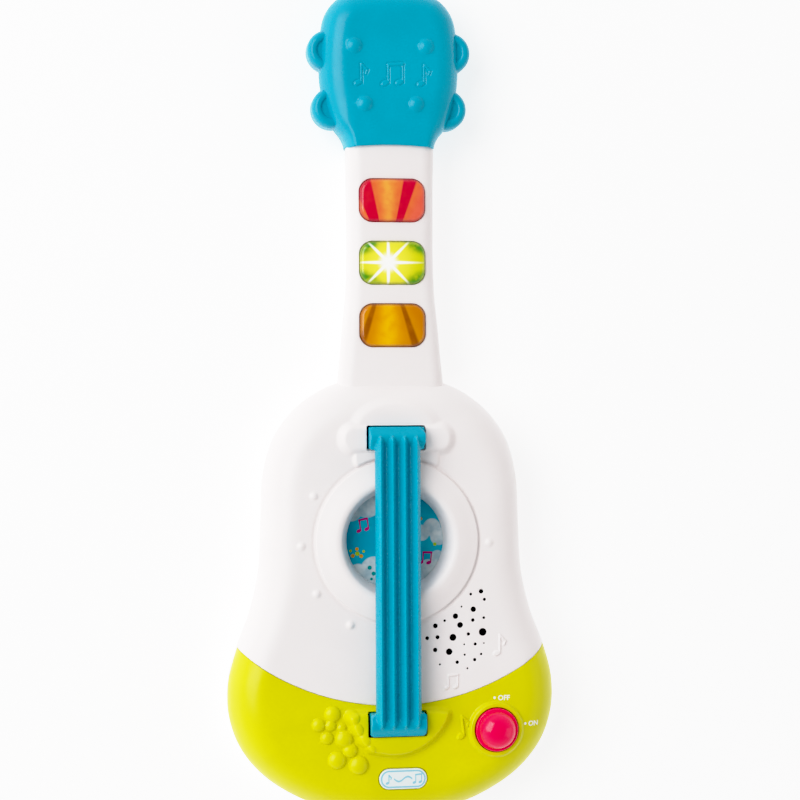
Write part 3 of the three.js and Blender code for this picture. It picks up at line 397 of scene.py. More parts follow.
def plate(loop, height, *, holes=(), border=None, edge=(0, 0), edge_share=None, edge_rows=12, lips=(),
          lip=0.0, spacing=2.2, grid=None, detail=(), skirt=None, low=None, wall=WALL, side=1):
    """A closed moulded plate over a plane outline.

    height(x, y) gives its face. edge=(width, drop) rounds the face down at the border, over a share of that
    width where edge_share(x, y) says so. Each of lips, (line, closed), and each hole rounds off by lip.
    Its points stand spacing apart, or where grid says, and detail lists (mask, spacing) where they stand
    closer. skirt is the level that an upright wall runs down to at the border. low(x, y) is a solid
    plate's underside; without it the plate is a shell, wall thick. side=-1 makes it face down, with every
    height given upside down.
    """
    border = loop if border is None else border
    width = edge[0] * (edge_share(border[:, 0], border[:, 1]) if edge_share else np.ones(len(border)))

    def in_detail(x, y):
        found = np.zeros(np.shape(x), bool)
        for mask, _ in detail:
            found |= mask(x, y)
        return found

    def edge_width(x, y):
        return edge[0] * (edge_share(x, y) if edge_share else 1.0)

    low_corner, high_corner = loop.min(axis=0) + 0.01, loop.max(axis=0)
    coarse = hexgrid(low_corner, high_corner, spacing) if grid is None else grid
    coarse = coarse[~in_detail(*coarse.T)]
    if edge[0]:
        coarse = coarse[distance(*coarse.T, border) > edge_width(*coarse.T) * 1.02]
    samples = [coarse]
    for index, (mask, step) in enumerate(detail):
        fine = hexgrid(low_corner, high_corner, step)
        fine = fine[mask(*fine.T)]
        for finer, _ in detail[index + 1 :]:
            fine = fine[~finer(*fine.T)]
        samples.append(fine)
    for turn in np.linspace(0, math.pi / 2, edge_rows + 1)[1:] if edge[0] else ():
        reach = width * (1 - math.cos(turn))
        row = inward(border, reach)
        true = distance(*row.T, border)
        samples.append(row[(true > reach * 0.96) & (~in_detail(*row.T) | (reach < 0.5))])
    rounded = [*lips, *((hole, True) for hole in holes)] if lip else []
    for line, closed in rounded:
        for reach in (0.35 * lip, lip, -0.35 * lip, -lip):
            row = inward(line, reach, closed)
            samples.append(row[distance(*row.T, line, closed) > 0.3 * lip])
    points = np.vstack(samples)
    keep = inside(*points.T, loop) & (distance(*points.T, loop) > 0.12)
    for hole in holes:
        keep &= ~inside(*points.T, hole) & (distance(*points.T, hole) > 0.1)
    points = points[keep]
    points = points[np.unique(np.round(points / 0.08), axis=0, return_index=True)[1]]

    xy, faces = triangulated([loop, *holes], points)
    x, y = xy.T
    z = height(x, y) * np.ones(len(x))
    if edge[0]:
        z -= edge[1] * (1 - quarter(distance(x, y, border) / edge_width(x, y)))
    for line, closed in rounded:
        z -= lip * 0.8 * (1 - quarter(distance(x, y, line, closed) / lip))
    top = np.column_stack([x, y, z])
    if skirt is not None:
        top, faces = with_skirt(top, faces, border, skirt)
    if low is None:
        bottom = top - wall * vertex_normals(top, faces)
        bottom[:, 2] = np.maximum(bottom[:, 2], skirt)
    else:
        bottom = np.column_stack([top[:, :2], low(top[:, 0], top[:, 1]) * np.ones(len(top))])
    vertices, polygons = closed_between(top, faces, bottom)
    if side < 0:
        return vertices * [1, 1, -1], [f[::-1] for f in polygons]
    return vertices, polygons


def layer(shape, centre, reach, surface, step=0.5, lift=0.05, thick=0.3):
    """A thin printed layer on a surface, wherever shape(x, y) is positive near a centre."""
    xs = np.arange(centre[0] - reach[0], centre[0] + reach[0], step)
    ys = np.arange(centre[1] - reach[1], centre[1] + reach[1], step)
    value = shape(*np.meshgrid(xs, ys))
    index, points, faces = {}, [], []

    def vertex(key, x, y):
        if key not in index:
            index[key] = len(points)
            points.append((x, y))
        return index[key]

    for r in range(len(ys) - 1):
        for c in range(len(xs) - 1):
            ring = [(r, c), (r, c + 1), (r + 1, c + 1), (r + 1, c)]
            polygon = []
            for (r0, c0), (r1, c1) in zip(ring, ring[1:] + ring[:1]):
                v0, v1 = value[r0, c0], value[r1, c1]
                if v0 > 0:
                    polygon.append(vertex((r0, c0), xs[c0], ys[r0]))
                if (v0 > 0) != (v1 > 0):
                    t = v0 / (v0 - v1)
                    key = (min(r0, r1), min(c0, c1), r0 == r1)
                    x, y = xs[c0] + t * (xs[c1] - xs[c0]), ys[r0] + t * (ys[r1] - ys[r0])
                    polygon.append(vertex(key, x, y))
            faces += [(polygon[0], polygon[k], polygon[k + 1]) for k in range(1, len(polygon) - 1)]
    x, y = np.array(points).T
    top = np.column_stack([x, y, surface(x, y) + lift])
    return closed_between(top, np.array(faces), top - [0, 0, thick])


def lathe(profile, centre=(0, 0), segments=96, closed=False):
    """Turns a profile of (radius, z) about Z. It starts and ends on the axis, or closes on itself."""
    angle = np.arange(segments) * TAU / segments
    vertices, rings = [], []
    for radius, z in profile:
        start = len(vertices)
        if radius < 1e-6:
            rings.append([start] * segments)
            vertices.append((centre[0], centre[1], z))
        else:
            rings.append(list(range(start, start + segments)))
            vertices += [(centre[0] + radius * math.cos(t), centre[1] + radius * math.sin(t), z)
                         for t in angle]
    faces = []
    for lower, upper in [*zip(rings, rings[1:]), *([(rings[-1], rings[0])] if closed else [])]:
        for i in range(segments):
            j = (i + 1) % segments
            face = [lower[i], lower[j], upper[j], upper[i]]
            face = [v for k, v in enumerate(face) if v != face[k - 1]]
            if len(face) > 2:
                faces.append(face)
    return np.array(vertices), faces


def arc(cx, cz, rx, rz, start, end, count=8):
    """Points of an elliptical arc for a profile, its angles in degrees."""
    turn = np.radians(np.linspace(start, end, count))
    return [(cx + rx * math.cos(t), cz + rz * math.sin(t)) for t in turn]


def block(low, high, bevel=0.3):
    """A box with bevelled edges."""
    low = np.array(low, float)
    size = np.array(high, float) - low
    mesh = bmesh.new()
    place = Matrix.Translation(Vector(low + size / 2)) @ Matrix.Diagonal((*size, 1))
    bmesh.ops.create_cube(mesh, size=1, matrix=place)
    bmesh.ops.bevel(mesh, geom=mesh.edges[:], offset=bevel, segments=2, profile=0.5, affect="EDGES")
    mesh.verts.index_update()
    solid = np.array([tuple(v.co) for v in mesh.verts]), [[v.index for v in f.verts] for f in mesh.faces]
    mesh.free()
    return solid


# ---------- materials ----------
ORANGE_PEEL = 0.006  # depth of the moulded surface's waviness
LAMP_X = -2.7  # the green key's lamp is this far left of the middle
# number of painted light rays in the green lens's star
RAYS = 8


class Nodes:
    """Short names for building a node material over the object's own coordinates, in millimetres."""

    def __init__(self, name):
        self.material = bpy.data.materials.new(name)
        self.material.use_nodes = True
        self.tree = self.material.node_tree
        self.shader = self.tree.nodes["Principled BSDF"]
        coordinates = self.tree.nodes.new("ShaderNodeTexCoord")
        self.position = self.vector("SCALE", coordinates.outputs["Object"], scale=1 / MM)

    def link(self, value, socket):
        if isinstance(value, bpy.types.NodeSocket):
            self.tree.links.new(value, socket)
        else:
            socket.default_value = value

    def vector(self, operation, a, b=None, scale=None):
        node = self.tree.nodes.new("ShaderNodeVectorMath")
        node.operation = operation
        self.link(a, node.inputs[0])
        if b is not None:
            self.link(b, node.inputs[1])
        if scale is not None:
            self.link(scale, node.inputs["Scale"])
        return node.outputs["Value" if operation == "DISTANCE" else "Vector"]

    def math(self, operation, a, b=0.0, c=0.0):
        node = self.tree.nodes.new("ShaderNodeMath")
        node.operation = operation
        for value, socket in zip((a, b, c), node.inputs):
            self.link(value, socket)
        return node.outputs[0]

    def length(self, a, b):
        return self.math("SQRT", self.math("ADD", self.math("MULTIPLY", a, a), self.math("MULTIPLY", b, b)))

    def axes(self):
        node = self.tree.nodes.new("ShaderNodeSeparateXYZ")
        self.link(self.position, node.inputs[0])
        return node.outputs["X"], node.outputs["Y"], node.outputs["Z"]

    def noise(self, size, detail=3.0, rough=0.5, distortion=0.0):
        node = self.tree.nodes.new("ShaderNodeTexNoise")
        self.link(self.position, node.inputs["Vector"])
        node.inputs["Scale"].default_value = 1 / size
        node.inputs["Detail"].default_value = detail
        node.inputs["Roughness"].default_value = rough
        node.inputs["Distortion"].default_value = distortion
        return node.outputs["Fac"]

    def spread(self, value, low, high, to_low=0.0, to_high=1.0):
        """Maps low..high smoothly to to_low..to_high, and holds the ends."""
        node = self.tree.nodes.new("ShaderNodeMapRange")
        node.interpolation_type = "SMOOTHSTEP"
        for v, socket in zip((value, low, high, to_low, to_high), node.inputs):
            self.link(v, socket)
        return node.outputs["Result"]

    def band(self, value, low, high, soft):
        """1 between low and high, with soft ends."""
        return self.math("MULTIPLY", self.spread(value, low - soft, low + soft),
                         self.spread(value, high - soft, high + soft, 1, 0))

    def mix(self, factor, a, b):
        node = self.tree.nodes.new("ShaderNodeMix")
        node.data_type = "RGBA"
        self.link(factor, node.inputs[0])
        self.link(a, node.inputs[6])
        self.link(b, node.inputs[7])
        return node.outputs[2]

    def bump(self, height, size):
        node = self.tree.nodes.new("ShaderNodeBump")
        node.inputs["Distance"].default_value = size * MM
        self.link(height, node.inputs["Height"])
        self.link(node.outputs["Normal"], self.shader.inputs["Normal"])

    def done(self, **values):
        for name, value in values.items():
            self.link(value, self.shader.inputs[name.replace("_", " ")])
        return self.material


def rgb(red, green, blue, scale=1.0):
    """A colour given in sRGB 0 to 255, as Blender's linear RGBA, made lighter or darker by scale."""
    parts = [c / 255 for c in (red, green, blue)]
    flat = [c / 12.92 if c <= 0.04045 else ((c + 0.055) / 1.055) ** 2.4 for c in parts]
    return (*(min(1.0, c * scale) for c in flat), 1.0)


def moulded(name, colour, rough, vary=0.05, coat=0.0, shine=0.32):
    """Injection-moulded plastic: faint flow shading, uneven gloss, orange peel and fine handling marks."""
    n = Nodes(name)
    flow = n.noise(38, 2, 0.5, 0.6)
    base = n.mix(n.spread(flow, 0.3, 0.7), rgb(*colour, scale=1 - vary), rgb(*colour, scale=1 + vary * 0.5))
    base = n.mix(n.spread(n.noise(2.2), 0.35, 0.65, 0, 0.3), base, rgb(*colour, scale=1 - vary))
    gloss = n.spread(n.noise(11, 4, 0.6), 0.3, 0.7, rough * 0.85, rough * 1.15)
    marks = n.math("POWER", n.noise(6, 8, 0.75, 2.0), 6.0)
    gloss = n.math("ADD", gloss, n.math("MULTIPLY", marks, 0.6))
    n.bump(n.math("MULTIPLY_ADD", n.noise(0.6, 2), 0.08, n.noise(2.6, 2)), ORANGE_PEEL)
    return n.done(Base_Color=base, Roughness=gloss, Coat_Weight=coat, Coat_Roughness=0.12, IOR=1.5,
                  Specular_IOR_Level=shine)


def metal(name, colour, rough=0.3):
    """Plated metal with a fine drawn grain."""
    n = Nodes(name)
    n.position = n.vector("MULTIPLY", n.position, (1.0, 1.0, 0.2))
    grains = n.noise(0.6, 4, 0.7)
    base = n.mix(grains, rgb(*colour, scale=0.8), rgb(*colour, scale=1.1))
    n.bump(grains, 0.01)
    gloss = n.spread(grains, 0.3, 0.7, rough * 0.8, rough * 1.3)
    return n.done(Base_Color=base, Metallic=1.0, Roughness=gloss)


def dull(name, colour, rough=0.6, size=3.0, vary=0.12, relief=0.03):
    """Rubber, paper, cloth, solder mask or wire insulation."""
    n = Nodes(name)
    mottled = n.noise(size, 4, 0.6)
    base = n.mix(mottled, rgb(*colour, scale=1 - vary), rgb(*colour, scale=1 + vary))
    n.bump(n.noise(size * 0.2), relief)
    return n.done(Base_Color=base, Roughness=n.spread(mottled, 0.3, 0.7, rough * 0.9, rough * 1.1))


def cloth(name):
    """Woven black loudspeaker cloth."""
    n = Nodes(name)
    x, y, _ = n.axes()
    weave = n.math("MULTIPLY", *(n.math("SINE", n.math("MULTIPLY", axis, 14.0)) for axis in (x, y)))
    base = n.mix(n.spread(weave, -1, 1), rgb(10, 10, 11), rgb(34, 34, 36))
    n.bump(weave, 0.05)
    return n.done(Base_Color=base, Roughness=0.85)


def cell_jacket(name):
    """Shrink sleeve of a dry cell: dark, with a copper band and bare ends."""
    n = Nodes(name)
    x, _, _ = n.axes()
    reach = n.math("ABSOLUTE", x)
    base = n.mix(n.spread(reach, 15.5, 15.7), rgb(38, 40, 46), rgb(176, 150, 96))
    base = n.mix(n.spread(reach, 23.9, 24.1), base, rgb(190, 190, 186))
    base = n.mix(n.spread(n.noise(2), 0.3, 0.7, 0, 0.15), base, rgb(90, 90, 90))
    return n.done(Base_Color=base, Roughness=0.32, Metallic=n.spread(reach, 15.5, 15.7, 0.1, 0.9))


def about_green_key(n):
    """x and y from the green key's lamp, the angle from straight up in degrees, and the distance."""
    x, y, _ = n.axes()
    x = n.math("ADD", x, -LAMP_X)
    up = n.math("SUBTRACT", y, LENS_Y["green"])
    angle = n.math("MULTIPLY", n.math("ARCTAN2", x, up), 180 / math.pi)
    return x, up, angle, n.length(x, up)


def from_key_edge(n):
    """How far a point is inside its key's rounded outline."""
    x, y, _ = n.axes()
    # The keys stand at an even pitch, so y folds onto the nearest key.
    pitch = (LENS_Y["red"] - LENS_Y["amber"]) / 2
    up = n.math("WRAP", n.math("SUBTRACT", y, LENS_Y["green"]), pitch / 2, -pitch / 2)
    across = n.math("SUBTRACT", n.math("ABSOLUTE", x), LENS["x"] - LENS["corner"])
    along = n.math("SUBTRACT", n.math("ABSOLUTE", up), LENS["y"] - LENS["corner"])
    outside = n.length(n.math("MAXIMUM", across, 0.0), n.math("MAXIMUM", along, 0.0))
    within = n.math("MINIMUM", n.math("MAXIMUM", across, along), 0.0)
    return n.math("SUBTRACT", LENS["corner"], n.math("ADD", outside, within))


def lens(name, colour_of, rim, strength):
    """Translucent tinted lens over an LED, whose light takes the lens's own colours. Its colours hold painted
    light and shade: colour_of paints the lamp's glow and rays, and the rim colour paints shade towards the
    key's edge. The emission glows in these painted colours.
    """
    n = Nodes(name)
    base = colour_of(n)
    n.bump(n.noise(2.5, 2), 0.012)
    # Painted shade: the lens turns to its darker rim colour towards the key's rounded edge.
    edge = n.spread(from_key_edge(n), 0.2, 1.5, 0.6, 0.0)
    base = n.mix(edge, base, rgb(*rim))
    return n.done(Base_Color=base, Roughness=n.spread(n.noise(7), 0.3, 0.7, 0.1, 0.2), IOR=1.5,
                  Specular_IOR_Level=0.5, Emission_Color=base, Emission_Strength=strength)


def red_lens(n):
    """Painted light from the green key's lamp: orange rays where its light comes through, with the lens's
    crimson between.
    """
    _, _, angle, _ = about_green_key(n)
    # Painted rays of the green lamp's light, brightest in line with it, with crimson bands of unlit lens
    # beside them.
    base = n.mix(n.spread(n.math("ABSOLUTE", angle), 0, 10, 1, 0), rgb(230, 112, 58), rgb(248, 162, 66))
    base = n.mix(n.band(angle, 10.8, 19.8, 0.8), base, rgb(196, 12, 54))
    base = n.mix(n.band(angle, -24, -11.8, 0.8), base, rgb(198, 14, 52))
    base = n.mix(n.spread(angle, 19, 30, 0, 0.6), base, rgb(232, 92, 84))
    return n.mix(n.spread(n.noise(5), 0.35, 0.75, 0, 0.3), base, rgb(212, 62, 50))


def amber_lens(n):
    """Painted light from the green key's lamp: gold along the ray through the middle, with a darker band of
    painted shade down each side of it.
    """
    _, _, angle, _ = about_green_key(n)
    off_axis = n.math("SUBTRACT", 180.0, n.math("ABSOLUTE", angle))
    # Painted ray: gold in line with the green lamp, duller off its axis.
    base = n.mix(n.spread(off_axis, 0, 15, 1, 0), rgb(206, 134, 4), rgb(242, 180, 6))
    base = n.mix(n.band(off_axis, 15.8, 21.0, 1.2), base, rgb(152, 84, 6))
    base = n.mix(n.spread(off_axis, 22, 30, 0, 0.5), base, rgb(190, 108, 10))
    return n.mix(n.spread(n.noise(5), 0.35, 0.75, 0, 0.3), base, rgb(196, 120, 6))


def green_lens(n):
    """Painted glow and rays of its own lamp: white at the lamp, with bright painted rays, yellow around it
    and the lens's green in the corners.
    """
    _, up, angle, away = about_green_key(n)
    x, _, _ = n.axes()
    corner = n.spread(n.math("ABSOLUTE", n.math("MULTIPLY", x, up)), 45, 125)
    corner = n.math("MULTIPLY", corner, n.spread(n.noise(5, 2), 0.3, 0.55, 0.5, 1))
    # Painted glow: yellow that dulls with distance from the lamp.
    base = n.mix(n.spread(away, 4, 20), rgb(238, 226, 66), rgb(194, 196, 24))
    base = n.mix(corner, base, rgb(74, 138, 34))
    # Painted star: RAYS bright rays about the lamp, and a white hot spot on it.
    off_ray = n.math("ABSOLUTE", n.math("SINE", n.math("MULTIPLY", angle, math.radians(RAYS / 2))))
    off_ray = n.math("MULTIPLY", off_ray, n.math("MULTIPLY", away, 0.2))
    ray = n.math("SUBTRACT", 1.0, n.math("DIVIDE", off_ray, n.math("MULTIPLY_ADD", away, -0.04, 1.3)))
    painted_star = n.math("MULTIPLY", n.spread(ray, 0.0, 0.8), n.spread(away, 7, 22, 1, 0.1))
    painted_star = n.math("MAXIMUM", painted_star, n.spread(away, 2.0, 7.0, 1, 0))
    return n.mix(painted_star, base, rgb(255, 255, 250))


def disc_print(name):
    """Printed card: cyan sky with pale rounded clouds."""
    n = Nodes(name)
    sky = n.mix(n.spread(n.noise(14), 0.35, 0.65), rgb(2, 166, 198), rgb(20, 188, 214))
    cloud = 0.0
    for x, y, r in [(-20, -98, 7), (-11, -95, 8), (-3, -101, 8), (-24, -61, 6), (-15, -57, 8), (-5, -55, 6),
                    (22, -71, 5), (16, -74, 4.5), (26, -76, 5), (12, -100, 7), (20, -95, 6), (25, -88, 4)]:
        away = n.vector("DISTANCE", n.position, (x, y, 30.7))
        cloud = n.math("MAXIMUM", cloud, n.spread(away, r - 0.5, r + 0.5, 1, 0))
    pale = n.mix(n.spread(n.noise(6), 0.3, 0.7), rgb(168, 196, 206), rgb(222, 232, 234))
    return n.done(Base_Color=n.mix(cloud, sky, pale), Roughness=0.35, Coat_Weight=0.3)


def ink(name, colour):
    """Slightly speckled printing ink."""
    n = Nodes(name)
    speckle = n.noise(0.5, 2)
    base = n.mix(speckle, rgb(*colour, scale=0.92), rgb(*colour, scale=1.04))
    return n.done(Base_Color=base, Roughness=0.45)


WHITE = moulded("white_abs", (250, 242, 241), rough=0.36, vary=0.02)
LIME = moulded("lime_abs", (222, 217, 0), rough=0.32, shine=0.3)
CYAN = moulded("cyan_abs", (0, 166, 194), rough=0.26, shine=0.26)
PINK = moulded("pink_abs", (255, 0, 84), rough=0.14, coat=0.3)
# Each lens: its painted light pattern, the colour of its painted rim shade and its glow strength.
RED = lens("red_lens", red_lens, (140, 16, 34), 0.15)
GREEN = lens("green_lens", green_lens, (128, 138, 30), 0.25)
AMBER = lens("amber_lens", amber_lens, (120, 58, 4), 0.1)
CARD = disc_print("printed_disc")
STEEL = metal("zinc_steel", (196, 196, 194))
INK_WHITE = ink("white_ink", (250, 250, 245))
SLOT_MATERIALS = {
    "white_shell": WHITE,
    "lime_shell": LIME,
    "blue_shell": CYAN,
    "pink_knob": PINK,
    "red_lens": RED,
    "green_lens": GREEN,
    "amber_lens": AMBER,
    "printed_card": CARD,
    "silicone": dull("silicone", (186, 186, 180), 0.7),
    "circuit_board": dull("solder_mask", (28, 104, 58), 0.4, 1.2, 0.25, 0.01),
    "black_part": dull("black_plastic", (26, 26, 27), 0.55, 1.5, 0.2),
    "steel": STEEL,
    "nickel": metal("nickel", (214, 208, 192), 0.18),
    "cell_jacket": cell_jacket("cell_jacket"),
    "red_wire": dull("red_wire", (186, 34, 28), 0.45, 1.0),
    "black_wire": dull("black_wire", (30, 30, 30), 0.45, 1.0),
    "grey_ribbon": dull("grey_ribbon", (160, 160, 160), 0.5, 1.0),
}


def dress_cad_nodes():
    """Gives each CAD node its slot's material."""
    for part in frame["record"]["subparts"]:
        materials = frame["nodes"][part["node"]].data.materials
        materials.clear()
        materials.append(SLOT_MATERIALS[part["material_slot"]])
    speaker = frame["nodes"]["speaker_cloth"].data.materials
    speaker.clear()
    speaker.append(cloth("speaker_cloth"))


# ---------- body ----------
BODY_LOOP = mirrored(BODY_HALF, 2.4, True)
NECK_SIDE = curve(NECK_HALF[::-1], 2.4, False)
HEAD_LOOP = mirrored(HEAD_HALF, 2.0, False)
FRONT_DROP = BODY["face"] - FRONT_Z - 0.3


def clip_to_seam(radius, above):
    """The part of the body's outline on one side of the seam, and the seam itself."""
    x, y = BODY_LOOP.T
    s = np.where(y > SEAM["y"], radius, radius - np.hypot(x, y - SEAM["y"])) * (1 if above else -1)
    count = len(BODY_LOOP)
    start = next(i for i in range(count) if s[i] <= 0 < s[(i + 1) % count])
    kept = []
    for k in range(count):
        i, j = (start + k) % count, (start + k + 1) % count
        if s[i] > 0:
            kept.append(BODY_LOOP[i])
        if (s[i] > 0) != (s[j] > 0):
            kept.append(BODY_LOOP[i] + s[i] / (s[i] - s[j]) * (BODY_LOOP[j] - BODY_LOOP[i]))
        if k and s[i] > 0 >= s[j]:
            break
    turns = [math.atan2(y - SEAM["y"], x) for x, y in (kept[-1], kept[0])]
    turns = np.linspace(*turns, 90)[1:-1]
    seam = np.column_stack([radius * np.cos(turns), SEAM["y"] + radius * np.sin(turns)])
    return drop_crowded(np.vstack([kept, seam]), 0.5), np.vstack([kept[-1:], seam, kept[:1]])


def beyond_ring(x, y):
    return np.hypot(x - RING_X, y - RING_Y) - RING["outer"]


def near_notes(x, y, notes):
    zone = np.zeros(np.shape(x), bool)
    for nx, ny, size, _ in notes:
        zone |= box_sd(x, y, nx, ny, size * 0.55, size * 0.6, 1) > 0
    return zone


def arch_reach(x, y):
    return np.hypot(x / 27.5, np.maximum(y + 16, 0) / 19.5)


def white_relief(x, y):
    """Raised saddle, pips and notes on the white face, and the groove round the ring."""
    bar = 3.6 * smooth(box_sd(x, y, 0.6, -20.4, 33.8, 10.2, 9.6), -0.2, 5.0)
    arch = 2.0 * smooth(arch_reach(x, y), 1.02, 0.74) * (y > -22)
    step = 1.7 * smooth(box_sd(x, y, 0.6, -26, 25, 12.2, 5.5), 0, 2.2)
    step = step * smooth(beyond_ring(x, y), 0.6, 2.2)
    z = np.maximum.reduce([bar, arch, step])
    for pip in FACE_PIPS:
        z = z + 1.2 * smooth(disc_sd(x, y, *pip), 0, 2.3)
    for note in WHITE_NOTES:
        z = z + 0.9 * smooth(note_sd(x, y, *note), -0.3, 0.6)
    return z - 0.45 * np.exp(-(((beyond_ring(x, y) - 1.1) / 0.8) ** 2))


def near_white_relief(x, y):
    zone = box_sd(x, y, 0.6, -20.4, 35, 12, 10) > 0
    zone |= box_sd(x, y, 0.6, -26, 26.5, 13.5, 6) > 0
    zone |= (np.abs(arch_reach(x, y) - 0.89) < 0.16) & (y > -18) & (y < 6)
    zone |= np.abs(beyond_ring(x, y) - 1.1) < 1.9
    return zone | in_discs(x, y, FACE_PIPS, 0.5)


CRESCENT = curve([
    (-29.4, -174), (-27.6, -181), (-22, -191), (-16, -196.8), (-8, -198.8), (1.5, -199.4), (10, -197.6),
    (20, -192), (29.6, -181), (31.4, -173.4), (25, -170.8), (0, -171), (-24, -171.2),
], 1.5, True)


def crescent_sd(x, y):
    return np.where(inside(x, y, CRESCENT), 1, -1) * distance(x, y, CRESCENT)


def badge_sd(x, y, grow=0.0):
    half_x, half_y = BADGE["x"] + grow, BADGE["y"] + grow
    return box_sd(x, y, BADGE_X, BADGE_Y, half_x, half_y, half_y - 0.1)


def dome(x, y, cx, cy, radius, rise, fullness=0.62):
    """A blister rise times its radius high: a flat top with steep sides when its fullness is low."""
    reach = np.clip(1 - ((x - cx) ** 2 + (y - cy) ** 2) / radius**2, 0, 1)
    return radius * rise * reach**fullness


def green_relief(x, y):
    """Crescent, bubbles, note and knob collar on the lime face, and the badge's recess."""
    z = 4.2 * smooth(crescent_sd(x, y), -0.3, 4.0) + 1.2 * smooth(crescent_sd(x, y), 0, 11)
    cluster = sum(dome(x, y, px, py, r + 0.4, 0.55) ** 3 for px, py, r in BUBBLES)
    z = np.maximum(z, np.cbrt(cluster))
    z = z + np.cbrt(sum(dome(x, y, px, py, r, 0.3) ** 3 for px, py, r in LOBES))
    z = z + 1.2 * smooth(note_sd(x, y, *LIME_NOTE, turn=0.12), -0.3, 0.7)
    z = z + 2.2 * smooth(disc_sd(x, y, KNOB_X, KNOB_Y, KNOB["collar"] + 1.2), 0, 2.0)
    return z - 1.2 * smooth(badge_sd(x, y, 0.4), -0.15, 0.15)


def near_green_relief(x, y):
    zone = np.abs(crescent_sd(x, y) - 1.6) < 3.2
    zone |= disc_sd(x, y, KNOB_X, KNOB_Y, KNOB["collar"] + 2) > 0
    return zone | in_discs(x, y, [*BUBBLES, *LOBES], 1)


def near_lime_edges(x, y):
    """The feet of the bubbles and lobes, and the note."""
    zone = near_notes(x, y, [LIME_NOTE])
    for px, py, r in [*BUBBLES, *LOBES]:
        zone |= np.abs(disc_sd(x, y, px, py, r)) < 1.1
    return zone


def lime_surface(x, y):
    """Height of the lime cover."""
    drop = FRONT_DROP * (1 - quarter(distance(x, y, BODY_LOOP) / BODY["front"]))
    return BODY["face"] + green_relief(x, y) - drop


def pocket(y):
    gap_x, gap_y = BAR["clearance"]
    return rounded_loop(0, y, BAR["block_x"] + gap_x, BAR["block_y"] + gap_y, 1.0, 1.0)


def body_front():
    shared = {"border": BODY_LOOP, "edge": (BODY["front"], FRONT_DROP), "edge_rows": 14, "lip": 0.35,
              "spacing": 2.4, "skirt": FRONT_Z}
    loop, seam = clip_to_seam(SEAM["radius"], True)
    speaker = [circle(x, y, r, 24 if r > 0.8 else 14) for x, y, r in SPEAKER_HOLES]
    ring_hole = circle(RING_X, RING_Y, RING["opening"], 96)
    white = plate(loop, lambda x, y: BODY["face"] + white_relief(x, y), lips=[(seam, False)],
                  holes=[ring_hole, pocket(BAR["upper"]), *speaker],
                  detail=[(near_white_relief, 0.75), (lambda x, y: near_notes(x, y, WHITE_NOTES), 0.42)],
                  **shared)
    make("body_front_skin", white, "guitar", WHITE, ["front_shell"])
    loop, seam = clip_to_seam(SEAM["radius"] + SEAM["gap"], False)
    knob_hole = circle(KNOB_X, KNOB_Y, KNOB["opening"], 80)
    lime = plate(loop, lambda x, y: BODY["face"] + green_relief(x, y), lips=[(seam, False)],
                 holes=[pocket(BAR["lower"]), knob_hole],
                 detail=[(near_green_relief, 0.75), (near_lime_edges, 0.45),
                         (lambda x, y: np.abs(badge_sd(x, y, 0.4)) < 0.7, 0.4)], **shared)
    make("lower_cover_skin", lime, "guitar", LIME, ["lower_front_cover"])


def wells(names):
    """The counterbores' places, (x, y, seat), from the screws."""
    return [(*middle(name)[:2], corners(name)[0][2]) for name in names]


def well_holes(places):
    return [circle(x, y, WELL, 28) for x, y, _ in places]


def well_cup(x, y, seat, outside):
    """The tube round a screw's counterbore, with the land that its head clamps."""
    return lathe([(WELL, outside), (CUP, outside), (CUP, seat + FLOOR), (BORE, seat + FLOOR), (BORE, seat),
                  (WELL, seat)], (x, y), 40, closed=True)


def door_loop(grow):
    """The battery door's outline: a rectangle with a round lug at its low side for the screw."""
    lug, x = DOOR["lug"] + grow, DOOR["x"] + grow
    high, low = DOOR["high"] + grow, DOOR["low"] - grow
    turn = np.radians(np.linspace(-180, 0, 25))
    bow = [(lug * math.cos(t), DOOR["lug_y"] + lug * math.sin(t)) for t in turn]
    box = [(x, low), (x, high), (-x, high), (-x, low), (-lug, low)]
    return keep_corners([*box, *bow, (lug, low), (x, low)], 2.0)


def body_rear():
    screws = [w for w in wells(CASE_SCREWS) if w[1] < 15]
    rear = plate(BODY_LOOP, lambda x, y: 0.0 * x, holes=[*well_holes(screws), door_loop(0.3)],
                 edge=(BODY["rear"], BODY["bend"]), edge_rows=10, lip=0.4, spacing=3.4, skirt=-REAR_Z,
                 side=-1)
    make("body_rear_skin", joined(rear, *(well_cup(x, y, z, 0.6) for x, y, z in screws)),
         "guitar", WHITE, ["rear_shell"])


def battery_door():
    """The door with five finger grooves and a countersunk lug, and its two tongues."""
    groove_ys = [-64 - 2.6 * k for k in range(5)]

    def height(x, y):
        grooves = sum(0.55 * smooth(stroke_sd(x, y, (-9, gy), (9, gy), 0.8), 0, 0.6) for gy in groove_ys)
        seat = 0.75 * smooth(disc_sd(x, y, 0, DOOR["lug_y"], 3.1), 0, 0.25)
        return -0.3 - grooves - seat

    def near_detail(x, y):
        return (box_sd(x, y, 0, -69.2, 11, 7, 1) > 0) | (disc_sd(x, y, 0, DOOR["lug_y"], 4) > 0)

    door = plate(door_loop(0), height, holes=[circle(0, DOOR["lug_y"], 1.7, 20)], edge=(0.5, 0.4),
                 edge_rows=4, spacing=3.0, detail=[(near_detail, 0.6)], low=lambda x, y: -2.0, side=-1)
    tongues = [block((x - 5, -59, 1.5), (x + 5, -57.5, 4.6)) for x in (-18, 18)]
    make("battery_door_skin", joined(door, *tongues), "battery_door", WHITE, ["battery_door"])


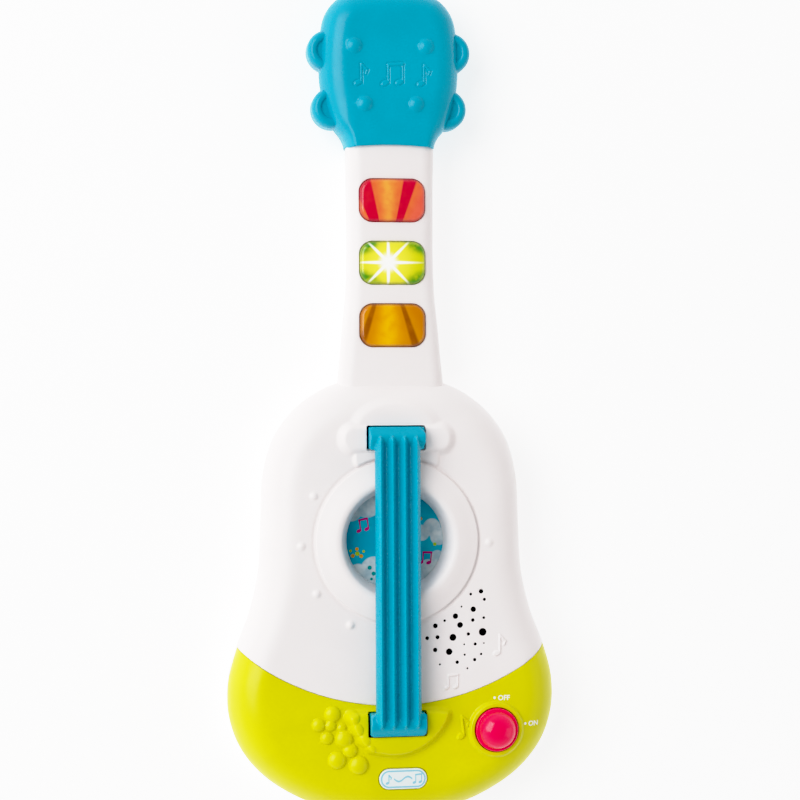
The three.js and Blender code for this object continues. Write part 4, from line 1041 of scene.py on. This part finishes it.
def screws():
    """Pan-head screws with a cross recess, in the CAD screws' places."""
    radius, depth = 2.8, 2.1

    def face(x, y):
        crown = 0.6 * np.sqrt(np.clip(1 - (x * x + y * y) / (radius * 1.1) ** 2, 0, 1)) - 0.6
        cross = np.maximum(box_sd(x, y, 0, 0, 1.55, 0.38, 0.1), box_sd(x, y, 0, 0, 0.38, 1.55, 0.1))
        return crown - 1.1 * smooth(cross, -0.1, 0.12)

    head = plate(circle(0, 0, radius, 48), face, spacing=0.2, low=lambda x, y: -depth, side=-1)
    for name in [*CASE_SCREWS, "battery_door_screw"]:
        low, high = corners(name)
        x, y, _ = middle(name)
        tip = high[2] - low[2]
        shank = lathe([(0, depth - 0.3), (1.25, depth - 0.3), (1.25, tip - 1.5), (0, tip)], segments=24)
        body = "battery_door" if name.startswith("battery") else "guitar"
        make(f"{name}_visual", moved(joined(head, shank), (x, y, low[2])), body, STEEL, [name])


# ---------- neck ----------
def neck_plate(half, holes, spacing, side):
    """One half of the neck, rounded along its long sides."""
    part = NECK_SIDE[(NECK_SIDE[:, 1] > NECK["low"]) & (NECK_SIDE[:, 1] < NECK["end"])]
    loop = np.vstack([part, (part * [-1, 1])[::-1]])

    def reach(x, y):
        return np.interp(y, NECK_SIDE[:, 1], NECK_SIDE[:, 0]) - np.abs(x)

    def height(x, y):
        return half["face"] - 0.0011 * x * x - half["drop"] * (1 - quarter(reach(x, y) / half["width"]))

    return plate(loop, height, holes=holes, lip=0.45, spacing=spacing, wall=1.9,
                 detail=[(lambda x, y: reach(x, y) < half["width"] + 0.6, 0.8)],
                 skirt=FRONT_Z if side > 0 else -REAR_Z, side=side)


def neck():
    half_x, half_y, corner = (LENS[key] + LENS["gap"] for key in ("x", "y", "corner"))
    openings = [rounded_loop(0, y, half_x, half_y, corner, 1.1) for y in LENS_Y.values()]
    make("neck_front_skin", neck_plate(NECK["front"], openings, 2.0, 1),
         "guitar", WHITE, ["front_shell"])
    places = [w for w in wells(CASE_SCREWS) if 15 < w[1] < HEAD["end"]]
    rear = neck_plate(NECK["rear"], well_holes(places), 2.6, -1)
    make("neck_rear_skin", joined(rear, *(well_cup(x, y, z, 8.9) for x, y, z in places)),
         "guitar", WHITE, ["rear_shell"])


# ---------- head ----------
def head_share(x, y):
    """How far the edge rounding narrows towards the collar."""
    return HEAD["collar"] + (1 - HEAD["collar"]) * smooth(y, 147, 172)


def head_relief(x, y):
    """Four pips and a row of generic notes."""
    z = sum(dome(x, y, *pip, 0.4, 0.95) for pip in HEAD_PIPS)
    marks = np.maximum.reduce([note_sd(x, y, *note) for note in HEAD_NOTES])
    return z + 0.3 * smooth(marks, -0.4, 0.5) - 0.4 * np.exp(-((marks / 0.45) ** 2))


def near_head_relief(x, y):
    row = box_sd(x, y, 0, 184.4, 27, 9, 1) > 0
    return row | in_discs(x, y, HEAD_PIPS, 0.2)


def peg_front(x, y, r):
    """The front half of a tuning peg: a round button with a raised rim and a dished face."""
    profile = [(0, FRONT_Z), (r, FRONT_Z), (r, 21.4), *arc(r - 3.4, 21.4, 3.4, 5.0, 6, 90, 10),
               *arc(r - 3.4, 24.9, 2.2, 1.5, 98, 172, 7), (r - 6.2, 25.0), (r - 8, 24.9), (0, 24.9)]
    return lathe(profile, (x, y), 72)


def peg_rear(x, y, r):
    profile = [(0, PEG_LOW), *arc(r - 4.4, PEG_LOW + 4, 4.4, 4, -90, 0, 9), (r, REAR_Z), (0, REAR_Z)]
    return lathe(profile, (x, y), 72)


def head():
    side = HEAD_LOOP[HEAD_LOOP[:, 1] > HEAD["end"] + 0.3]
    x = np.linspace(side[-1][0], side[0][0], 27)[1:-1]
    collar = np.column_stack([x, HEAD["end"] + 1.5 * (1 - (x / 26) ** 2)])
    shared = {"border": HEAD_LOOP, "edge_share": head_share, "lips": [(collar, False)], "edge_rows": 12}
    loop = np.vstack([side, collar])
    front = plate(loop, lambda x, y: HEAD["face"] + head_relief(x, y), lip=0.6, spacing=2.0, skirt=FRONT_Z,
                  edge=(HEAD["front"], HEAD["face"] - FRONT_Z - 0.3), detail=[(near_head_relief, 0.42)],
                  **shared)
    places = [w for w in wells(CASE_SCREWS) if w[1] > HEAD["end"]]
    rear = plate(loop, lambda x, y: HEAD["back"], holes=well_holes(places), lip=0.5, spacing=2.4,
                 skirt=-REAR_Z, edge=(HEAD["rear"], REAR_Z + HEAD["back"] - 0.3), side=-1, **shared)
    make("head_front_skin", joined(front, *(peg_front(*p) for p in PEGS)),
         "guitar", CYAN, ["head_front_shell"])
    make("head_rear_skin", joined(rear, *(peg_rear(*p) for p in PEGS), *(well_cup(*p, 6.9) for p in places)),
         "guitar", CYAN, ["head_rear_shell"])


# ---------- sound hole ----------
def sound_ring():
    profile = [(45.8, 40.3), *arc(44.8, 40.9, 1.0, 0.9, 0, 80, 5), (42.8, 42.4), (39.8, 43.5), (37.2, 44.5),
               *arc(34.0, 42.3, 3.6, 2.9, 62, 138, 8), (30.2, 42.1), (29.1, 39.6), (28.3, 36.8), (27.8, 33.8),
               (27.5, 31.0), (29.2, 31.0), (30.2, 36), (31.6, 40.0), (35.5, 41.6), (37.8, 41.2), (37.8, 34.6),
               (39.8, 34.6), (39.8, 40.3)]
    ring = lathe(profile, (RING_X, RING_Y), 144, closed=True)
    make("sound_ring_skin", ring, "guitar", WHITE, ["sound_ring"])


def sound_disc():
    """The printed disc, with small notes and dots printed on it."""
    low, high = corners("sound_disc")
    radius, top = (high[0] - low[0]) / 2, high[2]
    x, y, _ = middle("sound_disc")
    disc = lathe([(0, low[2]), (radius - 0.4, low[2]), (radius, low[2] + 0.4), (radius, top - 0.4),
                  (radius - 0.4, top), (20, top), (0, top)], (x, y), 96)
    make("sound_disc_card", disc, "guitar", CARD, ["sound_disc"])

    def print_on(name, shape, spots, reach, colour):
        layers = [layer(lambda u, v, s=s: shape(u, v, *s), s[:2], (reach, reach), lambda u, v: top + 0 * u,
                        0.4) for s in spots]
        make(name, joined(*layers), "guitar", ink(name, colour), ["sound_disc"])

    print_on("disc_notes_pink", lambda u, v, nx, ny, turn: note_sd(u, v, nx, ny, 7.6, True, turn),
             [(-17.4, -69.2, 0.15), (18.4, -88.2, -0.1), (-1, -62, 0.1)], 6, (206, 30, 120))
    for name, colour, *dots in (
        ("orange", (236, 160, 40),
         (-20.8, -82.6, 1.0), (-23.2, -86.4, 1.1), (-18.4, -86.6, 1.1), (15.5, -66, 1)),
        ("lime", (176, 206, 40),
         (-20.6, -85.2, 1.3), (-24.4, -83.6, 0.8), (-17, -84, 0.8), (23.6, -80.5, 1)),
        ("teal", (0, 150, 150),
         (-13.6, -93.2, 1.2), (-11.4, -96.6, 1.2), (-12.6, -99.6, 0.8), (9.5, -97, 1.1)),
    ):
        print_on(f"disc_dots_{name}", disc_sd, dots, 2, colour)


# ---------- keys, bar, knob, badge ----------
def keys():
    """Crowned, round-edged lenses that stand out of the neck."""
    for colour, material in (("red", RED), ("green", GREEN), ("amber", AMBER)):
        y = LENS_Y[colour]
        low = corners(f"{colour}_key")[0][2]

        def height(u, v, y=y):
            return LENS["top"] - 0.9 * (u / LENS["x"]) ** 2 - 0.5 * ((v - y) / LENS["y"]) ** 2

        def around(grow, step, y=y):
            return rounded_loop(0, y, LENS["x"] + grow, LENS["y"] + grow, LENS["corner"] + grow, step)

        cap = plate(around(0, 0.9), height, edge=(2.4, 2.2), edge_rows=7, spacing=1.5, skirt=low + 0.6,
                    wall=1.8)
        flange = plate(around(1.6, 1.2), lambda u, v, z=low: z + 1.4, holes=[around(-1.5, 1.2)], spacing=3,
                       low=lambda u, v, z=low: z)
        make(f"{colour}_key_lens", joined(cap, flange), f"{colour}_key", material,
             [f"{colour}_key"])


def bar_loop():
    """The strum bar's outline: a strip with a wider block at each end."""
    x, wide, half = BAR["x"], BAR["block_x"], BAR["block_y"]
    up, down = BAR["upper"], BAR["lower"]
    right = [(wide - 1.4, down - half), (wide, down - half + 1.4), (wide, down + half - 0.9),
             (wide - 0.9, down + half), (x + 0.7, down + half), (x, down + half + 0.7), (x, up - half - 0.7),
             (x + 0.7, up - half), (wide - 2.6, up - half), (wide - 1.1, up - half + 1.1), (wide, up - 2.5),
             (wide, up + 2.5), (wide - 1.1, up + half - 1.1), (wide - 2.6, up + half)]
    left = [(-wide + 0.9, up + half), (-wide, up + half - 0.9), (-wide, up - half + 0.9),
            (-wide + 0.9, up - half), (-x - 0.7, up - half), (-x, up - half - 0.7), (-x, down + half + 0.7),
            (-x - 0.7, down + half), (-wide + 0.9, down + half), (-wide, down + half - 0.9),
            (-wide, down - half + 1.4), (-wide + 1.4, down - half)]
    return keep_corners([*right, *left, right[0]], 1.6)


def bar_grid():
    """Points in columns, with one along each ridge's crest, and closer rows at the ends."""
    columns = np.arange(-23, 24) * RIDGE_PITCH / 10
    reach = BAR["block_y"] + 4
    near, far = BAR["lower"] + reach, BAR["upper"] - reach
    rows = np.concatenate([np.arange(near - 2 * reach, near, 0.5), np.arange(near, far, 1.4),
                           np.arange(far, far + 2 * reach, 0.5)])
    return np.stack(np.meshgrid(columns, rows), -1).reshape(-1, 2)


def bar_height(x, y):
    """Four narrow ridges with hollow flutes between, and end blocks that slope away outwards."""
    ridge = 0.5 - 0.5 * np.cos(TAU * x / RIDGE_PITCH)
    ridge = np.where(np.abs(x) > 1.98 * RIDGE_PITCH, 0.0, ridge) ** 1.3
    strip = 50.2 + 4.75 * ridge
    out = np.maximum(y - BAR["upper"], BAR["lower"] - y) / BAR["block_y"]
    ends = 51.6 - 4.0 * smooth(out, 0.05, 1.1)
    past = np.maximum(y - BAR["upper"], BAR["lower"] - y) + 2.6 - 3.4 * ridge
    return strip + (ends - strip) * smooth(past, -1.7, 1.2)


def strum_bar():
    low = corners("strum_bar")[0][2]
    half_x, half_y = BAR["block_x"] - 0.2, BAR["block_y"] - 0.2
    ridged = plate(bar_loop(), bar_height, edge=(0.9, 0.8), edge_rows=4, grid=bar_grid(),
                   low=lambda x, y: BAR["underside"])
    blocks = [block((-half_x, y - half_y, low), (half_x, y + half_y, BAR["underside"] + 0.3), 0.8)
              for y in (BAR["upper"], BAR["lower"])]
    make("strum_bar_ridged", joined(ridged, *blocks), "strum_bar", CYAN, ["strum_bar"],
         sharp=32)


def power_knob():
    """A cup with a thick rounded rim and a polished dome set in it."""
    r, top = KNOB["radius"], corners("power_knob")[1][2]
    profile = [(0, 35), (r - 0.4, 35), (r, 35.4), (r, 42.4), *arc(r - 0.9, 42.6, 0.9, 1.2, 0, 90, 7),
               (r - 1.3, 43.7), *arc(0, 43.8, r - 1.7, top - 43.8, 3, 90, 18)[:-1], (0, top)]
    make("power_knob_dome", lathe(profile, (KNOB_X, KNOB_Y)), "power_knob", PINK, ["power_knob"])


def badge():
    """White oval plate with a pale border line, and a wave and notes printed in pale blue."""
    def height(x, y):
        return BADGE["top"] - 0.35 * (1 - smooth(badge_sd(x, y), 0, 5))

    angle = np.arange(72) * TAU / 72
    straight = (BADGE["x"] - BADGE["y"]) * np.sign(np.round(np.cos(angle), 6))
    round_x, round_y = BADGE["y"] * np.cos(angle), BADGE["y"] * np.sin(angle)
    loop = np.column_stack([BADGE_X + round_x + straight, BADGE_Y + round_y])
    loop = keep_corners(np.vstack([loop, loop[:1]]), 1.0)
    oval = plate(loop, height, edge=(0.5, 0.4), edge_rows=4, spacing=1.0, low=lambda x, y: BADGE["bottom"])
    make("badge_plate", oval, "guitar", ink("badge_white", (236, 246, 248)), ["badge"])

    def motif(x, y):
        rim = 0.42 - np.abs(badge_sd(x, y) - 1.25)
        u = x - BADGE_X
        wave = 0.5 - np.abs(y - BADGE_Y - 1.3 * np.sin(u * 0.62)) - 10 * np.maximum(0, np.abs(u) - 5.2)
        notes = [note_sd(x, y, BADGE_X + s * 8.2, BADGE_Y, 5.6, s > 0) for s in (-1, 1)]
        return np.maximum.reduce([rim, wave, *notes])

    printed = layer(motif, (BADGE_X, BADGE_Y), (BADGE["x"] + 1, BADGE["y"] + 1), height, 0.3, 0.02, 0.2)
    make("badge_print", printed, "guitar", ink("badge_blue", (150, 208, 228)), ["badge"])


def flat_text(words, size, x, y):
    """Points and triangles of some words, their left end and baseline at (x, y)."""
    text = bpy.data.curves.new(words, "FONT")
    text.body = words
    text.size = size
    text.offset = 0.12
    text.resolution_u = 4
    carrier = linked(words, text)
    flat = bpy.data.meshes.new_from_object(carrier.evaluated_get(bpy.context.evaluated_depsgraph_get()))
    bpy.data.objects.remove(carrier)
    mesh = bmesh.new()
    mesh.from_mesh(flat)
    bmesh.ops.remove_doubles(mesh, verts=mesh.verts[:], dist=1e-4)
    bmesh.ops.triangulate(mesh, faces=mesh.faces[:])
    mesh.verts.index_update()
    points = np.array([tuple(v.co)[:2] for v in mesh.verts]) + [x, y]
    faces = np.array([[v.index for v in f.verts] for f in mesh.faces])
    mesh.free()
    return points, facing_up(points, faces)


def switch_marks():
    """ON and OFF with their dots, printed beside the knob."""
    solids = []
    for words, x, y in (("OFF", 55.8, -166.9), ("ON", 73.4, -182.0)):
        points, faces = flat_text(words, 3.9, x + 1.9, y - 1.4)
        top = np.column_stack([points, lime_surface(*points.T) + 0.06])
        solids.append(closed_between(top, faces, top - [0, 0, 0.35]))
        dot = layer(lambda u, v, x=x, y=y: disc_sd(u, v, x, y, 0.75), (x, y), (1.2, 1.2), lime_surface, 0.3)
        solids.append(dot)
    make("switch_print", joined(*solids), "guitar", INK_WHITE, ["lower_front_cover"])


# ---------- floor, lights, camera ----------
LENS_MM, CAMERA_AWAY, AIM = 85.1, 1.08, (6.0, 1.1, 18.0)  # millimetres, metres, millimetres
YAW, ROLL = 8.5, 0.27  # degrees


def studio():
    """A glowing pale floor, a graded sky and three soft lamps."""
    mesh = bpy.data.meshes.new("floor")
    half = 4.0
    square = [(-half, -half, 0), (half, -half, 0), (half, half, 0), (-half, half, 0)]
    mesh.from_pydata(square, [], [(0, 1, 2, 3)])
    n = Nodes("pale_floor")
    pale = n.mix(n.noise(300, 2), (0.74, 0.74, 0.74, 1), (0.77, 0.77, 0.77, 1))
    # A light table: its own glow keeps the shadow on it faint.
    mesh.materials.append(n.done(Base_Color=pale, Roughness=0.9, Emission_Color=(1, 1, 1, 1),
                                 Emission_Strength=0.67))
    floor = linked("floor", mesh)

    world = bpy.data.worlds.new("studio")
    bpy.context.scene.world = world
    world.use_nodes = True
    tree = world.node_tree
    # A bright horizon under a dark ceiling, so that flat faces keep their colour, and brighter on the left.
    direction = tree.nodes.new("ShaderNodeTexCoord").outputs["Generated"]
    axes = tree.nodes.new("ShaderNodeSeparateXYZ")
    tree.links.new(direction, axes.inputs[0])
    strength = tree.nodes.new("ShaderNodeMath")
    strength.operation = "MULTIPLY"
    for axis, ramp, factor in (("Z", (0.35, 0.95, 0.85, 0.08), 0), ("X", (-1.0, 1.0, 1.15, 0.9), 1)):
        grade = tree.nodes.new("ShaderNodeMapRange")
        for value, socket in zip(ramp, list(grade.inputs)[1:]):
            socket.default_value = value
        tree.links.new(axes.outputs[axis], grade.inputs["Value"])
        tree.links.new(grade.outputs["Result"], strength.inputs[factor])
    tree.links.new(strength.outputs[0], tree.nodes["Background"].inputs["Strength"])
    tree.nodes["Background"].inputs["Color"].default_value = (1.0, 1.0, 1.0, 1)

    for name, position, size, power in (
        ("left_softbox", (-1.9, 0.75, 2.2), (2.6, 1.9), 67.0),
        ("right_fill", (2.6, -0.8, 1.8), (2.0, 2.0), 7.0),
        ("overhead_fill", (0, 0, 2.2), (2.4, 2.4), 5.0),
    ):
        lamp = bpy.data.lights.new(name, "AREA")
        lamp.shape = "RECTANGLE"
        lamp.size, lamp.size_y = size
        lamp.energy = power
        light = linked(name, lamp)
        light.location = position
        light.rotation_euler = (-Vector(position)).to_track_quat("-Z", "Y").to_euler()
        light.visible_glossy = name != "overhead_fill"


def film(view):
    """Standard colours with a photographic shoulder, so that bright whites keep their shading."""
    view.view_transform = "Standard"
    view.use_curve_mapping = True
    response = view.curve_mapping
    brightest = 1.7
    response.white_level = (brightest,) * 3
    response.extend = "HORIZONTAL"
    combined = response.curves[3]
    combined.points[0].location = (0, 0)
    combined.points[-1].location = (1, 1)
    for scene_light, shown in ((0.012, 0.0), (0.05, 0.038), (0.2, 0.192), (0.45, 0.446), (0.65, 0.65),
                               (0.8, 0.775), (0.95, 0.85), (1.1, 0.897), (1.3, 0.946), (1.5, 0.98)):
        combined.points.new(scene_light / brightest, shown)
    response.update()


def camera():
    """Looks down at the guitar from in front, from a little to its left."""
    data = bpy.data.cameras.new("camera")
    data.sensor_width = 36
    data.lens = LENS_MM
    data.clip_start = 0.01
    yaw, roll = math.radians(YAW), math.radians(ROLL)
    forward = Vector((math.sin(yaw), 0, -math.cos(yaw)))
    right = Vector((math.cos(yaw), 0, math.sin(yaw)))
    up = right.cross(forward)
    right, up = right * math.cos(roll) - up * math.sin(roll), up * math.cos(roll) + right * math.sin(roll)
    stand = Vector(AIM) * MM - forward * CAMERA_AWAY
    rows = [(*axes, at) for *axes, at in zip(right, up, -forward, stand)]
    eye = linked("camera", data)
    eye.matrix_world = Matrix([*rows, (0, 0, 0, 1)])
    bpy.context.scene.camera = eye
    film(bpy.context.scene.view_settings)


camera()
studio()
dress_cad_nodes()
body_front()
neck()
body_rear()
battery_door()
screws()
head()
sound_ring()
sound_disc()
keys()
strum_bar()
power_knob()
badge()
switch_marks()
